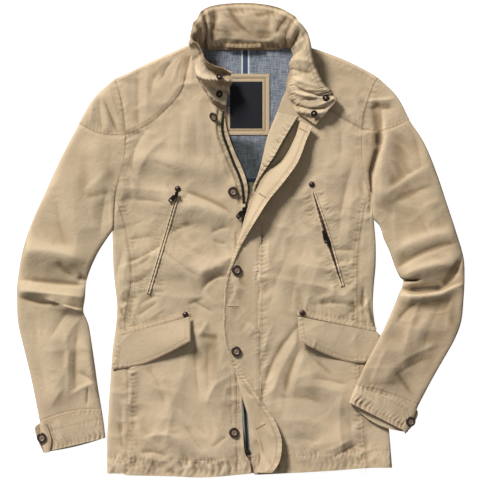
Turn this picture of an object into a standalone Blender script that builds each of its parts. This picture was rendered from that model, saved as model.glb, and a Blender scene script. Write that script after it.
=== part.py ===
"""Field jacket laid flat on its back, front up: every cut piece is its own thin wall.

Units in the tables are millimetres (X across, Y towards the collar, Z up from the surface).
"right" and "left" are the wearer's, so right pieces lie at negative X.
"""
import math

import bmesh
import bpy
import numpy as np
from mathutils import Matrix, Vector
from mathutils.bvhtree import BVHTree
from mathutils.geometry import delaunay_2d_cdt

MM = 0.001
GAP = 0.3               # between pieces that are sewn or rest on each other
BACK_WALL = 2.2         # lined shell cloth of the back
WALL = 2.2              # lined shell cloth of fronts and sleeves
THIN = 1.4              # flaps, collar layers and tabs
LAID = 8.0              # height of the upper cloth of the laid body over the surface
EDGE_ROUND = 13.0       # how far from an outline the cloth rolls down
UNDER_ROUND = 9.0       # the same on the underside, which rests on the surface
UNDER_TURN = 20.0       # how far a wrapped piece reaches back under the body
PANEL_STEP = 24.0       # spacing of the points that shape a panel
LINING_WALL = 1.0

# ---------------------------------------------------------------- outlines
# Body, one row for each level: height, edge and side seam of the wearer's right, then left.
BODY_LEVELS = (
    # y, right_edge, right_seam, left_seam, left_edge
    (128, -227, -224, 233, 235),
    (112, -228, -217, 224, 239),
    (86, -229, -209, 220, 241),
    (49, -229, -202, 214, 244),
    (9, -228, -196, 211, 244),
    (-25, -225, -196, 211, 241),
    (-63, -221, -202, 210, 239),
    (-99, -223, -207, 212, 243),
    (-144, -229, -205, 214, 252),
    (-198, -233, -202, 216, 260),
    (-260, -237, -202, 220, 266),
    (-310, -239, -203, 224, 270),
    (-372, -239, -207, 228, 275),
)
HEM = ((-239, -366), (-207, -369), (-126, -371), (-60, -373), (22, -366),
       (26, -368), (74, -366), (166, -361), (228, -356), (275, -354))
SHOULDER = {"right": ((-90, 406), (-115, 395), (-157, 376), (-198, 356), (-225, 344)),
            "left": ((126, 400), (146, 394), (193, 376), (234, 355), (248, 346))}
ARMHOLE_UPPER = {"right": ((-225, 344), (-206, 243), 4.0), "left": ((248, 346), (220, 253), 6.0)}
ARMHOLE_LOWER = {"right": ((-206, 243), (-207, 207), (-214, 176), (-223, 148), (-227, 128)),
                 "left": ((220, 253), (220, 216), (222, 189), (227, 160), (235, 128))}
UNDERARM = {"right": ((-227, 128), (-228, 112), (-229, 72)),
            "left": ((235, 128), (239, 112), (242, 90))}
YOKE_SEAM = {"right": ((-206, 243), (-184, 252), (-157, 268), (-126, 296), (-104, 326), (-91, 384)),
             "left": ((220, 253), (193, 268), (166, 284), (140, 301), (121, 322), (111, 384))}
NECKLINE = {"right": ((-91, 384), (-83, 370), (-67, 344), (-55, 321), (-44, 303), (-29, 290)),
            "left": ((111, 384), (98, 372), (87, 352), (84, 338), (82, 322), (77, 312))}
OPENING = {"right": ((-29, 290), (-26, 264), (-20, 241), (-11, 216), (2, 187), (11, 163),
                     (14, 141), (10, 119), (3, 96)),
           "left": ((77, 312), (64, 278), (50, 243), (41, 205), (32, 166), (22, 142), (15, 118), (10, 96))}
CENTRE = {"right": ((3, 96), (3, -60), (3, -216), (4, -260), (7, -316), (10, -333), (17, -343), (20, -366)),
          "left": ((10, 96), (10, -60), (10, -216), (13.5, -254), (19, -327), (26, -368))}

# Sleeves, one row for each section: outer and inner edge in plan.
SLEEVE = {
    "right": (
        # outer_x, outer_y, inner_x, inner_y
        (-289, 265, -229, 72),
        (-322, 202, -243, 52),
        (-349, 142, -257, 29),
        (-372, 92, -270, 0),
        (-390, 38, -277, -24),
        (-400, -20, -279, -50),
        (-401, -61, -282, -73),
        (-399, -95, -276, -89),
        (-391, -131, -271, -106),
        (-380, -175, -262, -165),
        (-371, -216, -256, -208),
        (-360, -272, -249, -250),
    ),
    "left": (
        (304, 271, 242, 90),
        (331, 230, 252, 78),
        (353, 177, 259, 56),
        (372, 120, 269, 34),
        (389, 68, 278, 8),
        (402, 23, 287, -12),
        (404, -14, 294, -21),
        (402, -55, 285, -45),
        (398, -92, 273, -75),
        (386, -125, 255, -112),
        (364, -164, 236, -148),
        (342, -203, 222, -176),
        (321, -243, 208, -207),
    ),
}
CAP_BOW = 9.0           # how far the cap seam bows away from its chord
CAP_ROW = 8             # points along the cap seam, shared by the cap and the sleeve
CUFF = {
    "right": ((-360, -272, -249, -250), (-356, -300, -245, -276), (-352, -328, -242, -302)),
    "left": ((321, -243, 208, -207), (311, -268, 202, -222), (301, -292, 196, -238)),
}
CUFF_BOW = {"right": 7.0, "left": 4.0}
MOUTH_DROP = {"right": 3.0, "left": 12.0}   # how far the under layer shows below a cuff's mouth
TAB_CLEAR = {"right": 1.8, "left": 3.0}     # between a tab and the rounded cuff below it
CUFF_TAB = {
    "right": ((-361, -276), (-349, -274), (-340, -300), (-342, -327), (-353, -329), (-364, -305),
              (-369, -284)),
    "left": ((295, -235), (319, -253), (313, -275), (297, -294), (290, -284), (300, -262), (291, -242)),
}

# Soft ridges of the laid cloth: two ends, half width and height.
BODY_FOLDS = (
    # x0, y0, x1, y1, width, height
    (-190, 205, -40, 178, 20, 5.0),
    (-150, 128, -20, 96, 22, 5.5),
    (-160, 30, -60, -10, 24, 4.0),
    (-75, -5, -15, 22, 16, 4.5),
    (-130, -60, -70, -140, 20, 4.0),
    (-60, -170, -30, -330, 24, 5.0),
    (-150, -200, -120, -330, 26, 4.0),
    (-110, -300, -40, -345, 18, 4.0),
    (60, -30, 130, -210, 26, 6.0),
    (50, -200, 110, -300, 24, 5.0),
    (110, 10, 190, -60, 24, 4.5),
    (120, -190, 190, -240, 24, 5.0),
    (140, -330, 200, -290, 22, 4.5),
    (150, 120, 190, 60, 20, 4.0),
    (-120, 190, -90, 270, 26, 3.5),
    (135, 220, 190, 170, 24, 3.5),
    (-150, 330, -120, 290, 16, 3.0),
)
SLEEVE_FOLDS = {
    "right": (
        (-385, 40, -290, 20, 24, 9.0),
        (-392, -30, -300, -60, 18, 9.0),
        (-345, -55, -286, -74, 9, 5.0),
        (-340, -110, -330, -235, 22, 6.0),
        (-290, -120, -262, -215, 16, 4.0),
        (-262, 225, -250, 130, 22, 5.0),
        (-330, 160, -280, 60, 30, 5.0),
        (-245, 320, -238, 255, 12, 3.0),
    ),
    "left": (
        (256, 245, 262, 130, 20, 6.0),
        (300, 40, 375, 60, 24, 8.0),
        (300, -8, 392, 20, 20, 9.0),
        (296, -52, 375, -40, 12, 8.0),
        (340, -90, 285, -150, 22, 6.0),
        (320, 200, 350, 90, 26, 4.0),
        (300, -170, 250, -200, 16, 3.5),
    ),
}

# Storm flap, one row for each section: seam, fold and free edge in plan, and how high the
# free edge stands over the front.
STORM_FLAP = (
    # seam_x, seam_y, fold_x, fold_y, free_x, free_y, lift
    (112, 267, 107, 269, 130, 257, 9),
    (106, 237, 100, 240, 120, 235, 11),
    (94, 200, 80, 203, 104, 194, 12),
    (68, 166, 46, 172, 80, 160, 12),
    (44, 134, 27, 138, 53, 127, 12),
    (38, 106, 13, 108, 36, 101, 13),
    (38, 72, 2, 68, 17, 70, 12),
    (38, 44, -8, 38, 0, 40, 9),
    (38, 14, -17, 10, -12, 11, 5),
    (37, -16, -25, -18, -21, -18, 3),
    (37, -72, -29, -72, -25, -72, 3),
    (37, -120, -28, -125, -24, -125, 3),
    (37, -160, -20, -155, -14, -158, 4),
    (38, -190, -6, -190, 6, -189, 5),
    (38, -216, 1, -216, 27, -218, 5),
    (39, -242, 9, -243, 44, -244, 6),
    (42, -268, 18, -270, 60, -266, 7),
    (46, -296, 29, -299, 73, -296, 9),
    (50, -322, 37, -324, 75, -322, 10),
    (48, -346, 36, -346, 70, -346, 9),
    (42, -364, 30, -364, 58, -364, 6),
)

# Lapel: the left front's opening edge turned back, so its facing shows.
LAPEL = (
    # roll_x, roll_y, edge_x, edge_y, lift
    (67, 284, 103, 276, 4),
    (55, 255, 91, 256, 6),
    (47, 232, 75, 229, 7),
    (41, 205, 61, 204, 7),
    (35, 181, 47, 183, 6),
    (28, 160, 34, 164, 4),
    (22, 146, 26, 147, 2),
)

# Stand collar, one row for each station from the right end round the back to the left end.
COLLAR = (
    # seam_x, seam_y, seam_lift, rim_x, rim_y, rim_z, bulge
    (-27, 290, 2.0, -15, 354, 21, -6),
    (-50, 301, 2.0, -28, 361, 27, -9),
    (-63, 322, 2.0, -48, 367, 40, -8),
    (-75, 345, 2.0, -62, 378, 50, -7),
    (-84, 372, 2.0, -72, 404, 54, -5),
    (-85, 392, 1.0, -84, 418, 54, -2),
    (-68, 399, -2.0, -78, 443, 44, 6),
    (-46, 397, -2.0, -57, 471, 24, 8),
    (0, 396, -2.0, 2, 480, 16, 9),
    (54, 396, -2.0, 62, 473, 22, 8),
    (86, 400, -1.0, 100, 450, 40, 5),
    (95, 388, 1.0, 122, 416, 42, 3),
    (90, 365, 2.5, 132, 370, 36, 4),
    (88, 338, 2.5, 150, 334, 28, 7),
    (88, 312, 3.5, 164, 321, 24, 8),
    (102, 285, 5, 169, 313, 22, 7),
    (136, 261, 7, 176, 308, 21, 5),
)
LINING_OUTLINE = ((-96, 392), (-60, 401), (0, 401), (60, 401), (106, 392), (108, 300), (80, 200),
                  (50, 130), (10, 96), (-40, 150), (-62, 230), (-84, 300))
PATCH = {"x": (-31, 53), "y": (243, 353), "thick": 0.6}
LABEL = {"x": (-18, 40), "y": (255, 339), "thick": 0.5}
HANGER = {"x": (-25, 38), "y": 404, "width": 7}

# Lower pockets and the trims of the front.
POCKET_FLAP = {
    "right": ((-222, -120), (-89, -83), (-89, -128), (-129, -150), (-170, -168), (-203, -175), (-230, -178)),
    "left": ((103, -83), (247, -111.4), (252, -124), (232, -166), (203, -166), (171, -158), (138, -144),
             (107, -127)),
}
POCKET_WELT = {"right": ((-218, -116), (-90, -79)), "left": ((103, -78), (245, -107))}
FLAP_HOLD = 0.965       # near the side a flap keeps the height of the cloth this share inwards
FLAP_LIFT = {"right": (-95, -132, 9.0), "left": (112, -132, 8.0)}   # corner x, y and lift
CHEST_ZIP = {"right": ((-111, 139), (-165, -42)), "left": ((130, 145), (184, -29))}
CHEST_WELT_WIDTH = 9.0
CHEST_SLIDER = {"right": (-114, 136), "left": (151, 66)}
CHEST_PULL_WAY = {"right": (-0.68, -0.73), "left": (0.3, -0.95)}
FRONT_SLIDER = (7.2, 108.0)
FRONT_PULL_WAY = (-0.66, -0.75)
PULL = {"length": 19.0, "width": 8.4, "thick": 1.3, "window": 4.0}
SLIDER = {"length": 10.0, "width": 6.2, "height": 2.4}
PIN_LIFT = 1.7          # a pull's hinge axis over its slider's top
ZIP_CHAIN = {
    "right": ((-31, 286), (-32, 254), (-29, 238), (-21, 217), (-12, 193), (-3, 173), (4, 150), (7, 119)),
    "closed": ((6.5, 94), (6.5, -60), (6.5, -216), (8.6, -260), (12.4, -316), (13.2, -324)),
}
CHAIN_WIDTH = 4.4
CHAIN_THICK = 1.6
ZIP_STOP = (13.0, -330.0)
RIVETS = {"chest_right": (-112, 146), "chest_left": (129, 154),
          "pocket_right": (-98, -80), "pocket_left": (112, -77)}
BUTTONS = ((-46, 276), (-13, 141), (-6, 0), (-7, -146), (-11, -292))
BUTTON_RADIUS = 9.0
CUFF_BUTTONS = {"right": (-356, -301), "left": (306, -272)}
SNAPS = {"right_upper": (-37, 346), "right_lower": (-37, 316),
         "left_upper": (154, 309), "left_lower": (133, 281)}
SNAP_RADIUS = 6.0
SNAP_LIFT = 0.8         # keeps a flat snap clear of the curved collar

COLOURS = {
    "cloth": (0.60, 0.46, 0.29, 1), "lining": (0.19, 0.22, 0.28, 1), "label": (0.012, 0.013, 0.016, 1),
    "button": (0.032, 0.019, 0.014, 1), "metal": (0.08, 0.08, 0.075, 1), "rivet": (0.045, 0.026, 0.02, 1),
}


# ---------------------------------------------------------------- curves and heights
def spline(points, count):
    """Catmull-Rom curve through the points, read at equal steps of its length."""
    p = np.asarray(points, float)
    if len(p) == 2:
        return p[0] + (p[1] - p[0]) * np.linspace(0, 1, count)[:, None]
    ends = np.vstack((2 * p[0] - p[1], p, 2 * p[-1] - p[-2]))
    t = np.linspace(0, 1, 24, endpoint=False)[:, None]
    dense = []
    for a, b, c, d in zip(ends[:-3], ends[1:-2], ends[2:-1], ends[3:]):
        dense.append(0.5 * (2 * b + (c - a) * t + (2 * a - 5 * b + 4 * c - d) * t ** 2
                            + (3 * b - a - 3 * c + d) * t ** 3))
    dense = np.vstack(dense + [p[-1:]])
    run = np.concatenate(([0], np.cumsum(np.linalg.norm(np.diff(dense, axis=0), axis=1))))
    want = np.linspace(0, run[-1], count)
    return np.column_stack([np.interp(want, run, dense[:, k]) for k in range(p.shape[1])])


def level(column, y):
    """A column of BODY_LEVELS at heights y."""
    curve = spline([(row[0], row[column]) for row in BODY_LEVELS], 200)[::-1]
    return np.interp(y, curve[:, 0], curve[:, 1])


def ridges(folds, x, y):
    """Sum of soft ridges: height times a bell across the fold, fading at its two ends."""
    total = np.zeros(np.shape(x))
    for x0, y0, x1, y1, width, height in folds:
        way = np.array((x1 - x0, y1 - y0), float)
        length = np.hypot(*way)
        way /= length
        along = ((x - x0) * way[0] + (y - y0) * way[1]) / length
        across = (x - x0) * way[1] - (y - y0) * way[0]
        past = np.maximum(0, np.abs(along - 0.5) - 0.35) * length
        total += height * np.exp(-(across / width) ** 2 - (past / (1.2 * width)) ** 2)
    return total


def rolled(distance, reach=EDGE_ROUND):
    """0 at an outline, 1 from reach inwards, upright at the outline like a quarter ellipse."""
    t = np.clip(np.asarray(distance, float) / reach, 0, 1)
    return np.sqrt(np.clip(1 - (1 - t) ** 2.4, 0, 1))


def laid_height(x, y):
    """Top of the laid body away from its outline, folds included."""
    fade = np.clip((np.asarray(y, float) + 376) / 40, 0, 1)
    return LAID + ridges(BODY_FOLDS, x, y) * (0.25 + 0.75 * fade)


def body_top(x, y):
    """Top of the laid body, rolled down at its two sides below the underarm."""
    x = np.asarray(x, float)
    y = np.asarray(y, float)
    inside = np.minimum(x - level(1, y), level(4, y) - x)
    half = LAID / 2
    rolling = np.where(y < 100, rolled(inside), 1.0)
    return half + (laid_height(x, y) - half) * rolling


def sleeve_ground(side, x, y):
    """What a sleeve lies on: the surface, or the body and its pocket flap under a forearm."""
    if side == "right":
        return np.zeros(np.shape(x))
    beyond = np.asarray(x, float) - level(4, y)
    on_body = body_top(x - np.maximum(beyond, 0), y)
    flap = 5.5 * np.clip((y + 205) / 30, 0, 1) * np.clip((-40 - y) / 40, 0, 1)
    carried = np.clip((-55 - np.asarray(y, float)) / 55, 0, 1)
    carried = carried * carried * (3 - 2 * carried)
    slope = np.exp(-(np.maximum(beyond, 0) / 34) ** 2)
    return carried * slope * (np.maximum(on_body, LAID) + flap + 1.2)


def sleeve_height(side, x, y):
    """Height of a sleeve's upper cloth over what the sleeve lies on."""
    return LAID + ridges(SLEEVE_FOLDS[side], x, y)


# ---------------------------------------------------------------- meshes
def make_object(name, vertices, faces, colour, smooth=40.0):
    """One closed mesh object from points in millimetres."""
    mesh = bpy.data.meshes.new(name)
    mesh.from_pydata([tuple(v) for v in np.asarray(vertices, float) * MM], [], faces)
    shell = bmesh.new()
    shell.from_mesh(mesh)
    bmesh.ops.recalc_face_normals(shell, faces=shell.faces)
    bmesh.ops.triangulate(shell, faces=shell.faces)
    if shell.calc_volume(signed=True) < 0:
        bmesh.ops.reverse_faces(shell, faces=shell.faces)
    shell.to_mesh(mesh)
    shell.free()
    mesh.shade_smooth()
    mesh.set_sharp_from_angle(angle=math.radians(smooth))
    mesh.materials.append(material(colour))
    item = bpy.data.objects.new(name, mesh)
    bpy.context.scene.collection.objects.link(item)
    return item


def material(colour):
    """The Principled material of a colour name, made once."""
    if colour in bpy.data.materials:
        return bpy.data.materials[colour]
    made = bpy.data.materials.new(colour)
    made.use_nodes = True
    shader = made.node_tree.nodes["Principled BSDF"]
    shader.inputs["Base Color"].default_value = COLOURS[colour]
    shader.inputs["Roughness"].default_value = 0.85 if colour in ("cloth", "lining") else 0.4
    shader.inputs["Metallic"].default_value = 0.9 if colour in ("metal", "rivet") else 0.0
    return made


def grid_solid(name, upper, lower, colour, closed=False):
    """Wall between two grids of points (rows, across); closed joins the last column to the first."""
    rows, across = upper.shape[:2]
    vertices = np.vstack((upper.reshape(-1, 3), lower.reshape(-1, 3)))
    under = rows * across
    faces = []
    spans = across if closed else across - 1
    for i in range(rows - 1):
        for j in range(spans):
            k = (j + 1) % across
            a, b, c, d = i * across + j, i * across + k, (i + 1) * across + k, (i + 1) * across + j
            faces.append((a, b, c, d))
            faces.append((under + d, under + c, under + b, under + a))
    for j in range(spans):
        k = (j + 1) % across
        last = (rows - 1) * across
        faces.append((k, j, under + j, under + k))
        faces.append((last + j, last + k, under + last + k, under + last + j))
    if not closed:
        for i in range(rows - 1):
            a, b = i * across, (i + 1) * across
            faces.append((a, b, under + b, under + a))
            a, b = a + across - 1, b + across - 1
            faces.append((b, a, under + a, under + b))
    return make_object(name, vertices, faces, colour)


def inset(outline, distance):
    """A closed outline, anticlockwise, moved inwards."""
    before = outline - np.roll(outline, 1, axis=0)
    after = np.roll(outline, -1, axis=0) - outline
    normals = []
    for way in (before, after):
        unit = way / np.maximum(np.linalg.norm(way, axis=1, keepdims=True), 1e-9)
        normals.append(np.column_stack((-unit[:, 1], unit[:, 0])))
    mitre = normals[0] + normals[1]
    mitre /= np.maximum(np.sum(mitre * normals[0], axis=1, keepdims=True), 0.35)
    return outline + distance * mitre


def anticlockwise(outline):
    """The outline without repeated points, in anticlockwise order."""
    p = np.asarray(outline, float)
    keep = np.linalg.norm(p - np.roll(p, 1, axis=0), axis=1) > 0.5
    p = p[keep]
    x, y = p[:, 0], p[:, 1]
    area = np.sum(x * np.roll(y, -1) - y * np.roll(x, -1))
    return p if area > 0 else p[::-1]


def inside(outline, x, y):
    """Which points lie inside a closed outline, by counting crossings."""
    found = np.zeros(x.shape, bool)
    for (x0, y0), (x1, y1) in zip(outline, np.roll(outline, -1, axis=0)):
        crosses = (y0 > y) != (y1 > y)
        with np.errstate(divide="ignore", invalid="ignore"):
            at = x0 + (y - y0) * (x1 - x0) / (y1 - y0)
        found ^= crosses & (x < at)
    return found


def distance_to(outline, x, y):
    """Shortest distance from points to a closed outline."""
    best = np.full(x.shape, 1e9)
    for (x0, y0), (x1, y1) in zip(outline, np.roll(outline, -1, axis=0)):
        dx, dy = x1 - x0, y1 - y0
        t = np.clip(((x - x0) * dx + (y - y0) * dy) / max(dx * dx + dy * dy, 1e-9), 0, 1)
        best = np.minimum(best, np.hypot(x - x0 - t * dx, y - y0 - t * dy))
    return best


def panel(name, outline, top, thickness, colour, step=PANEL_STEP, trim=GAP / 2):
    """A cut piece: its outline filled with points, lifted to top(x, y), as a wall."""
    edge = inset(anticlockwise(outline), trim)
    low, high = edge.min(axis=0), edge.max(axis=0)
    xs = np.arange(low[0] + step / 2, high[0], step)
    ys = np.arange(low[1] + step / 2, high[1], step * 0.87)
    gx, gy = np.meshgrid(xs, ys)
    gx[1::2] += step / 2
    gx, gy = gx.ravel(), gy.ravel()
    keep = inside(edge, gx, gy)
    gx, gy = gx[keep], gy[keep]
    if len(gx):
        keep = distance_to(edge, gx, gy) > 0.55 * step
        gx, gy = gx[keep], gy[keep]
    plan = np.vstack((edge, np.column_stack((gx, gy))))
    loop = list(range(len(edge)))
    links = [(i, (i + 1) % len(edge)) for i in loop]
    filled = delaunay_2d_cdt([Vector(p) for p in plan], links, [loop], 1, 1e-5)
    flat = np.array([tuple(v) for v in filled[0]])
    upper = np.column_stack((flat, top(flat[:, 0], flat[:, 1])))
    lower = upper - (0, 0, thickness)
    count = len(flat)
    faces = [tuple(f) for f in filled[2]]
    sides = {}
    for face in faces:
        for a, b in zip(face, face[1:] + face[:1]):
            if (b, a) in sides:
                del sides[(b, a)]
            else:
                sides[(a, b)] = True
    walls = [(b, a, a + count, b + count) for a, b in sides]
    under = [tuple(i + count for i in reversed(face)) for face in faces]
    return make_object(name, np.vstack((upper, lower)), faces + under + walls, colour)


def wrap_shares(across):
    """Shares from a seam, 0, to an outline, 1, closer together where the cloth rolls down."""
    return np.linspace(0, 1, across) ** 0.62


def wrap_rows(seam, edge, under, top, across=8, turns=4, bow=None):
    """Outer and inner grids of a piece that runs from a seam over an outline and back under.
    bow moves the middle of each row sideways in plan."""
    share = wrap_shares(across)
    under_share = np.linspace(0, 1, turns + 1)[1:] ** 1.4
    outer, inner = [], []
    half = LAID / 2
    for i, (s, e, u) in enumerate(zip(seam, edge, under)):
        reach = np.linalg.norm(s - e)
        way = (s - e) / max(reach, 1e-6)
        d_top = reach * (1 - share)
        aside = np.zeros(2) if bow is None else bow[i]
        plan_top = e + d_top[:, None] * way + np.sin(math.pi * share)[:, None] * aside
        length = np.linalg.norm(u - e)
        way_under = (u - e) / length
        d_under = length * under_share
        plan_under = e + d_under[:, None] * way_under
        plan_under += np.sin(math.pi * np.clip(d_under / reach, 0, 1))[:, None] * aside
        height = top(plan_top[:, 0], plan_top[:, 1])
        z_top = half + (height - half) * rolled(d_top)
        z_under = half - half * rolled(d_under, UNDER_ROUND)
        near = np.clip(1 - d_top / EDGE_ROUND, 0, 1) ** 2
        in_top = plan_top + way * (WALL * near * share)[:, None]
        z_in_top = half + (height - WALL - half) * rolled(d_top)
        near = np.clip(1 - d_under / UNDER_ROUND, 0, 1) ** 2
        in_under = plan_under + way_under * (WALL * near)[:, None]
        z_in_under = half - (half - WALL) * rolled(d_under, UNDER_ROUND)
        outer.append(np.vstack((np.column_stack((plan_top, z_top)),
                                np.column_stack((plan_under, z_under)))))
        inner.append(np.vstack((np.column_stack((in_top, z_in_top)),
                                np.column_stack((in_under, z_in_under)))))
    return np.array(outer), np.array(inner)


def tube(name, plan, ground, height, drop=None, thickness=WALL):
    """A flattened tube. plan is (rows, across, 2) from one edge to the other; the upper cloth
    lies height(x, y) over ground(x, y), and both layers meet in round edges."""
    rings_out, rings_in = [], []
    for i, line in enumerate(plan):
        way = np.gradient(line, axis=0)
        way /= np.linalg.norm(way, axis=1, keepdims=True)
        run = np.concatenate(([0], np.cumsum(np.linalg.norm(np.diff(line, axis=0), axis=1))))
        near = np.minimum(run, run[-1] - run)
        share = run / run[-1]
        base = ground(line[:, 0], line[:, 1])
        tall = height(line[:, 0], line[:, 1])
        half = LAID / 2
        up = base + half + (tall - half) * rolled(near)
        down = base + half - half * rolled(near, UNDER_ROUND)
        moved = (thickness * (1 - 2 * share) * np.clip(1 - near / EDGE_ROUND, 0, 1) ** 2)[:, None] * way
        in_up = base + half + (tall - half - thickness) * rolled(near)
        in_down = base + half - (half - thickness) * rolled(near, UNDER_ROUND)
        low = line if drop is None else line + drop[i] * np.sin(math.pi * share)[:, None]
        out_ring = np.vstack((np.column_stack((line, up)), np.column_stack((low, down))[-2:0:-1]))
        in_ring = np.vstack((np.column_stack((line + moved, in_up)),
                             np.column_stack((low + moved, in_down))[-2:0:-1]))
        rings_out.append(out_ring)
        rings_in.append(in_ring)
    return grid_solid(name, np.array(rings_out), np.array(rings_in), "cloth", closed=True)


def folded_rows(rows, base, thickness, lift_of, radius=1.5):
    """Wall that runs from a seam to a fold and back over itself to a free edge, row by row.
    rows are (seam, fold, free) in plan; base(x, y) is the height it lies on."""
    outer, inner = [], []
    for (seam, fold, free), lift in zip(rows, lift_of):
        way = free - fold
        reach = np.linalg.norm(way)
        way = way / reach
        ground = base(fold[0], fold[1]) + GAP + thickness / 2
        centre = []
        for t in (0.0, 0.4, 0.8):
            spot = seam + (fold + way * radius - seam) * t
            centre.append((*spot, max(ground, base(spot[0], spot[1]) + GAP + thickness / 2)))
        top_of_lower = centre[-1][2]
        pivot = fold + way * radius
        for angle in (-70, 0, 70):
            out = radius * math.cos(math.radians(angle))
            spot = pivot - way * out
            centre.append((*spot, top_of_lower + radius * (1 + math.sin(math.radians(angle)))))
        for t in (0.35, 0.7, 1.0):
            spot = pivot + (free - pivot) * t
            rise = lift * (1.25 * t - 0.25 * t * t)
            centre.append((*spot, top_of_lower + 2 * radius + rise))
        line = np.array(centre)
        tangent = np.gradient(line, axis=0)
        plan_way = np.array((*way, 0.0))
        run = tangent @ plan_way
        climb = tangent[:, 2]
        size = np.maximum(np.hypot(run, climb), 1e-6)
        normal = np.column_stack((-climb / size, -climb / size, run / size))
        normal[:, :2] *= plan_way[:2]
        outer.append(line + normal * thickness / 2)
        inner.append(line - normal * thickness / 2)
    return np.array(outer), np.array(inner)


def resample(rows, count):
    """Table rows read along a smooth curve at count stations."""
    table = np.asarray(rows, float)
    t = np.linspace(0, len(table) - 1, count)
    ends = np.vstack((2 * table[0] - table[1], table, 2 * table[-1] - table[-2]))
    i = np.minimum(t.astype(int), len(table) - 2)
    f = (t - i)[:, None]
    a, b, c, d = ends[i], ends[i + 1], ends[i + 2], ends[i + 3]
    return 0.5 * (2 * b + (c - a) * f + (2 * a - 5 * b + 4 * c - d) * f ** 2
                  + (3 * b - a - 3 * c + d) * f ** 3)


def turned(name, profile, segments, colour):
    """A solid of revolution about Z from (radius, height) pairs that start and end on the axis."""
    ring = np.linspace(0, 2 * math.pi, segments, endpoint=False)
    vertices = [(0, 0, profile[0][1])]
    for radius, height in profile[1:-1]:
        vertices += [(radius * math.cos(a), radius * math.sin(a), height) for a in ring]
    vertices.append((0, 0, profile[-1][1]))
    faces = []
    loops = len(profile) - 2
    for j in range(segments):
        k = (j + 1) % segments
        faces.append((0, 1 + k, 1 + j))
        for i in range(loops - 1):
            a, b = 1 + i * segments, 1 + (i + 1) * segments
            faces.append((a + j, a + k, b + k, b + j))
        last = 1 + (loops - 1) * segments
        faces.append((last + j, last + k, len(vertices) - 1))
    return make_object(name, vertices, faces, colour, smooth=35.0)


def place(item, spot, normal=(0, 0, 1)):
    """Puts a turned solid at a spot in millimetres with its axis along normal."""
    turn = Vector((0, 0, 1)).rotation_difference(Vector(normal).normalized())
    item.matrix_world = Matrix.Translation(Vector(spot) * MM) @ turn.to_matrix().to_4x4()


# ---------------------------------------------------------------- body
def sign_of(side):
    """-1 on the wearer's right, 1 on the left."""
    return -1 if side == "right" else 1


def shifted(line, distance):
    """An open line moved sideways to its left by distance."""
    way = np.gradient(line, axis=0)
    way /= np.linalg.norm(way, axis=1, keepdims=True)
    return line + distance * np.column_stack((-way[:, 1], way[:, 0]))


def hem_at(x):
    """Height of the hem's edge at x."""
    line = spline(HEM, 80)
    return np.interp(x, line[:, 0], line[:, 1])


def side_levels(side):
    """Heights of the side piece's rows, from its top to the hem."""
    return np.linspace(BODY_LEVELS[0][0] - 2.0, hem_at(sign_of(side) * 238.0), 16)


def armhole_upper(side, shares):
    """The armhole from the shoulder's end down to the yoke seam."""
    top, corner, bow = ARMHOLE_UPPER[side]
    share = np.asarray(shares, float)[:, None]
    line = np.array(top) + (np.array(corner) - np.array(top)) * share
    return line + (-sign_of(side) * bow, 0) * np.sin(math.pi * share)


def yoke_rows(side):
    """Seam, shoulder edge, under edge and sideways bow of a yoke, from the armhole to the neck."""
    seam = spline(YOKE_SEAM[side], 11)
    edge = spline(SHOULDER[side], 11)[::-1]
    way = (seam - edge) / np.linalg.norm(seam - edge, axis=1, keepdims=True)
    bow = np.clip(1 - np.arange(11) / 3.0, 0, 1)[:, None] * (-sign_of(side) * ARMHOLE_UPPER[side][2], 0)
    return seam, edge, edge + UNDER_TURN * way, bow


def back_outline():
    """The back: between the returns of the side pieces and yokes, and along the armholes."""
    loops = {}
    for side in ("right", "left"):
        sign = sign_of(side)
        column = 1 if side == "right" else 4
        y = side_levels(side)
        y[0] += 2.0
        flank = np.column_stack((level(column, y) - sign * UNDER_TURN, y))
        flank = flank[flank[:, 1] > hem_at(flank[:, 0]) + 4]
        arm = np.vstack((armhole_upper(side, (0.26, 0.5, 0.75, 1)), spline(ARMHOLE_LOWER[side], 7)[1:]))
        arm -= (sign * GAP, 0)
        seam, edge, under, bow = yoke_rows(side)
        reach = np.linalg.norm(seam - edge, axis=1, keepdims=True)
        top = under + (seam - edge) / reach * 3 * GAP + bow * np.sin(math.pi * UNDER_TURN / reach)
        loops[side] = np.vstack((top[::-1], arm, flank))
    x = np.linspace(loops["right"][-1, 0], loops["left"][-1, 0], 12)
    hem = np.column_stack((x, hem_at(x)))
    neck = np.array(((-78, 401), (0, 402), (100, 401)))
    return np.vstack((loops["right"], hem[1:-1], loops["left"][::-1], neck[::-1]))


def front_outline(side):
    """A front: armhole, side seam, hem, opening, neckline and yoke seam."""
    column = 2 if side == "right" else 3
    y = side_levels(side)
    seam = np.column_stack((level(column, y), y))
    seam = seam[seam[:, 1] > hem_at(seam[:, 0]) + 3]
    x = np.linspace(level(column, y[-1]), CENTRE[side][-1][0], 9)
    hem = np.column_stack((x, hem_at(x)))
    centre = spline(CENTRE[side], 16)[::-1]
    opening = spline(OPENING[side], 12)[::-1]
    neck = spline(NECKLINE[side], 7)[::-1]
    yoke = yoke_rows(side)[0][::-1]
    arm = spline(ARMHOLE_LOWER[side], 7)
    return np.vstack((arm, seam, hem, centre[1:], opening[1:], neck[1:], yoke[1:-1]))


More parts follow.
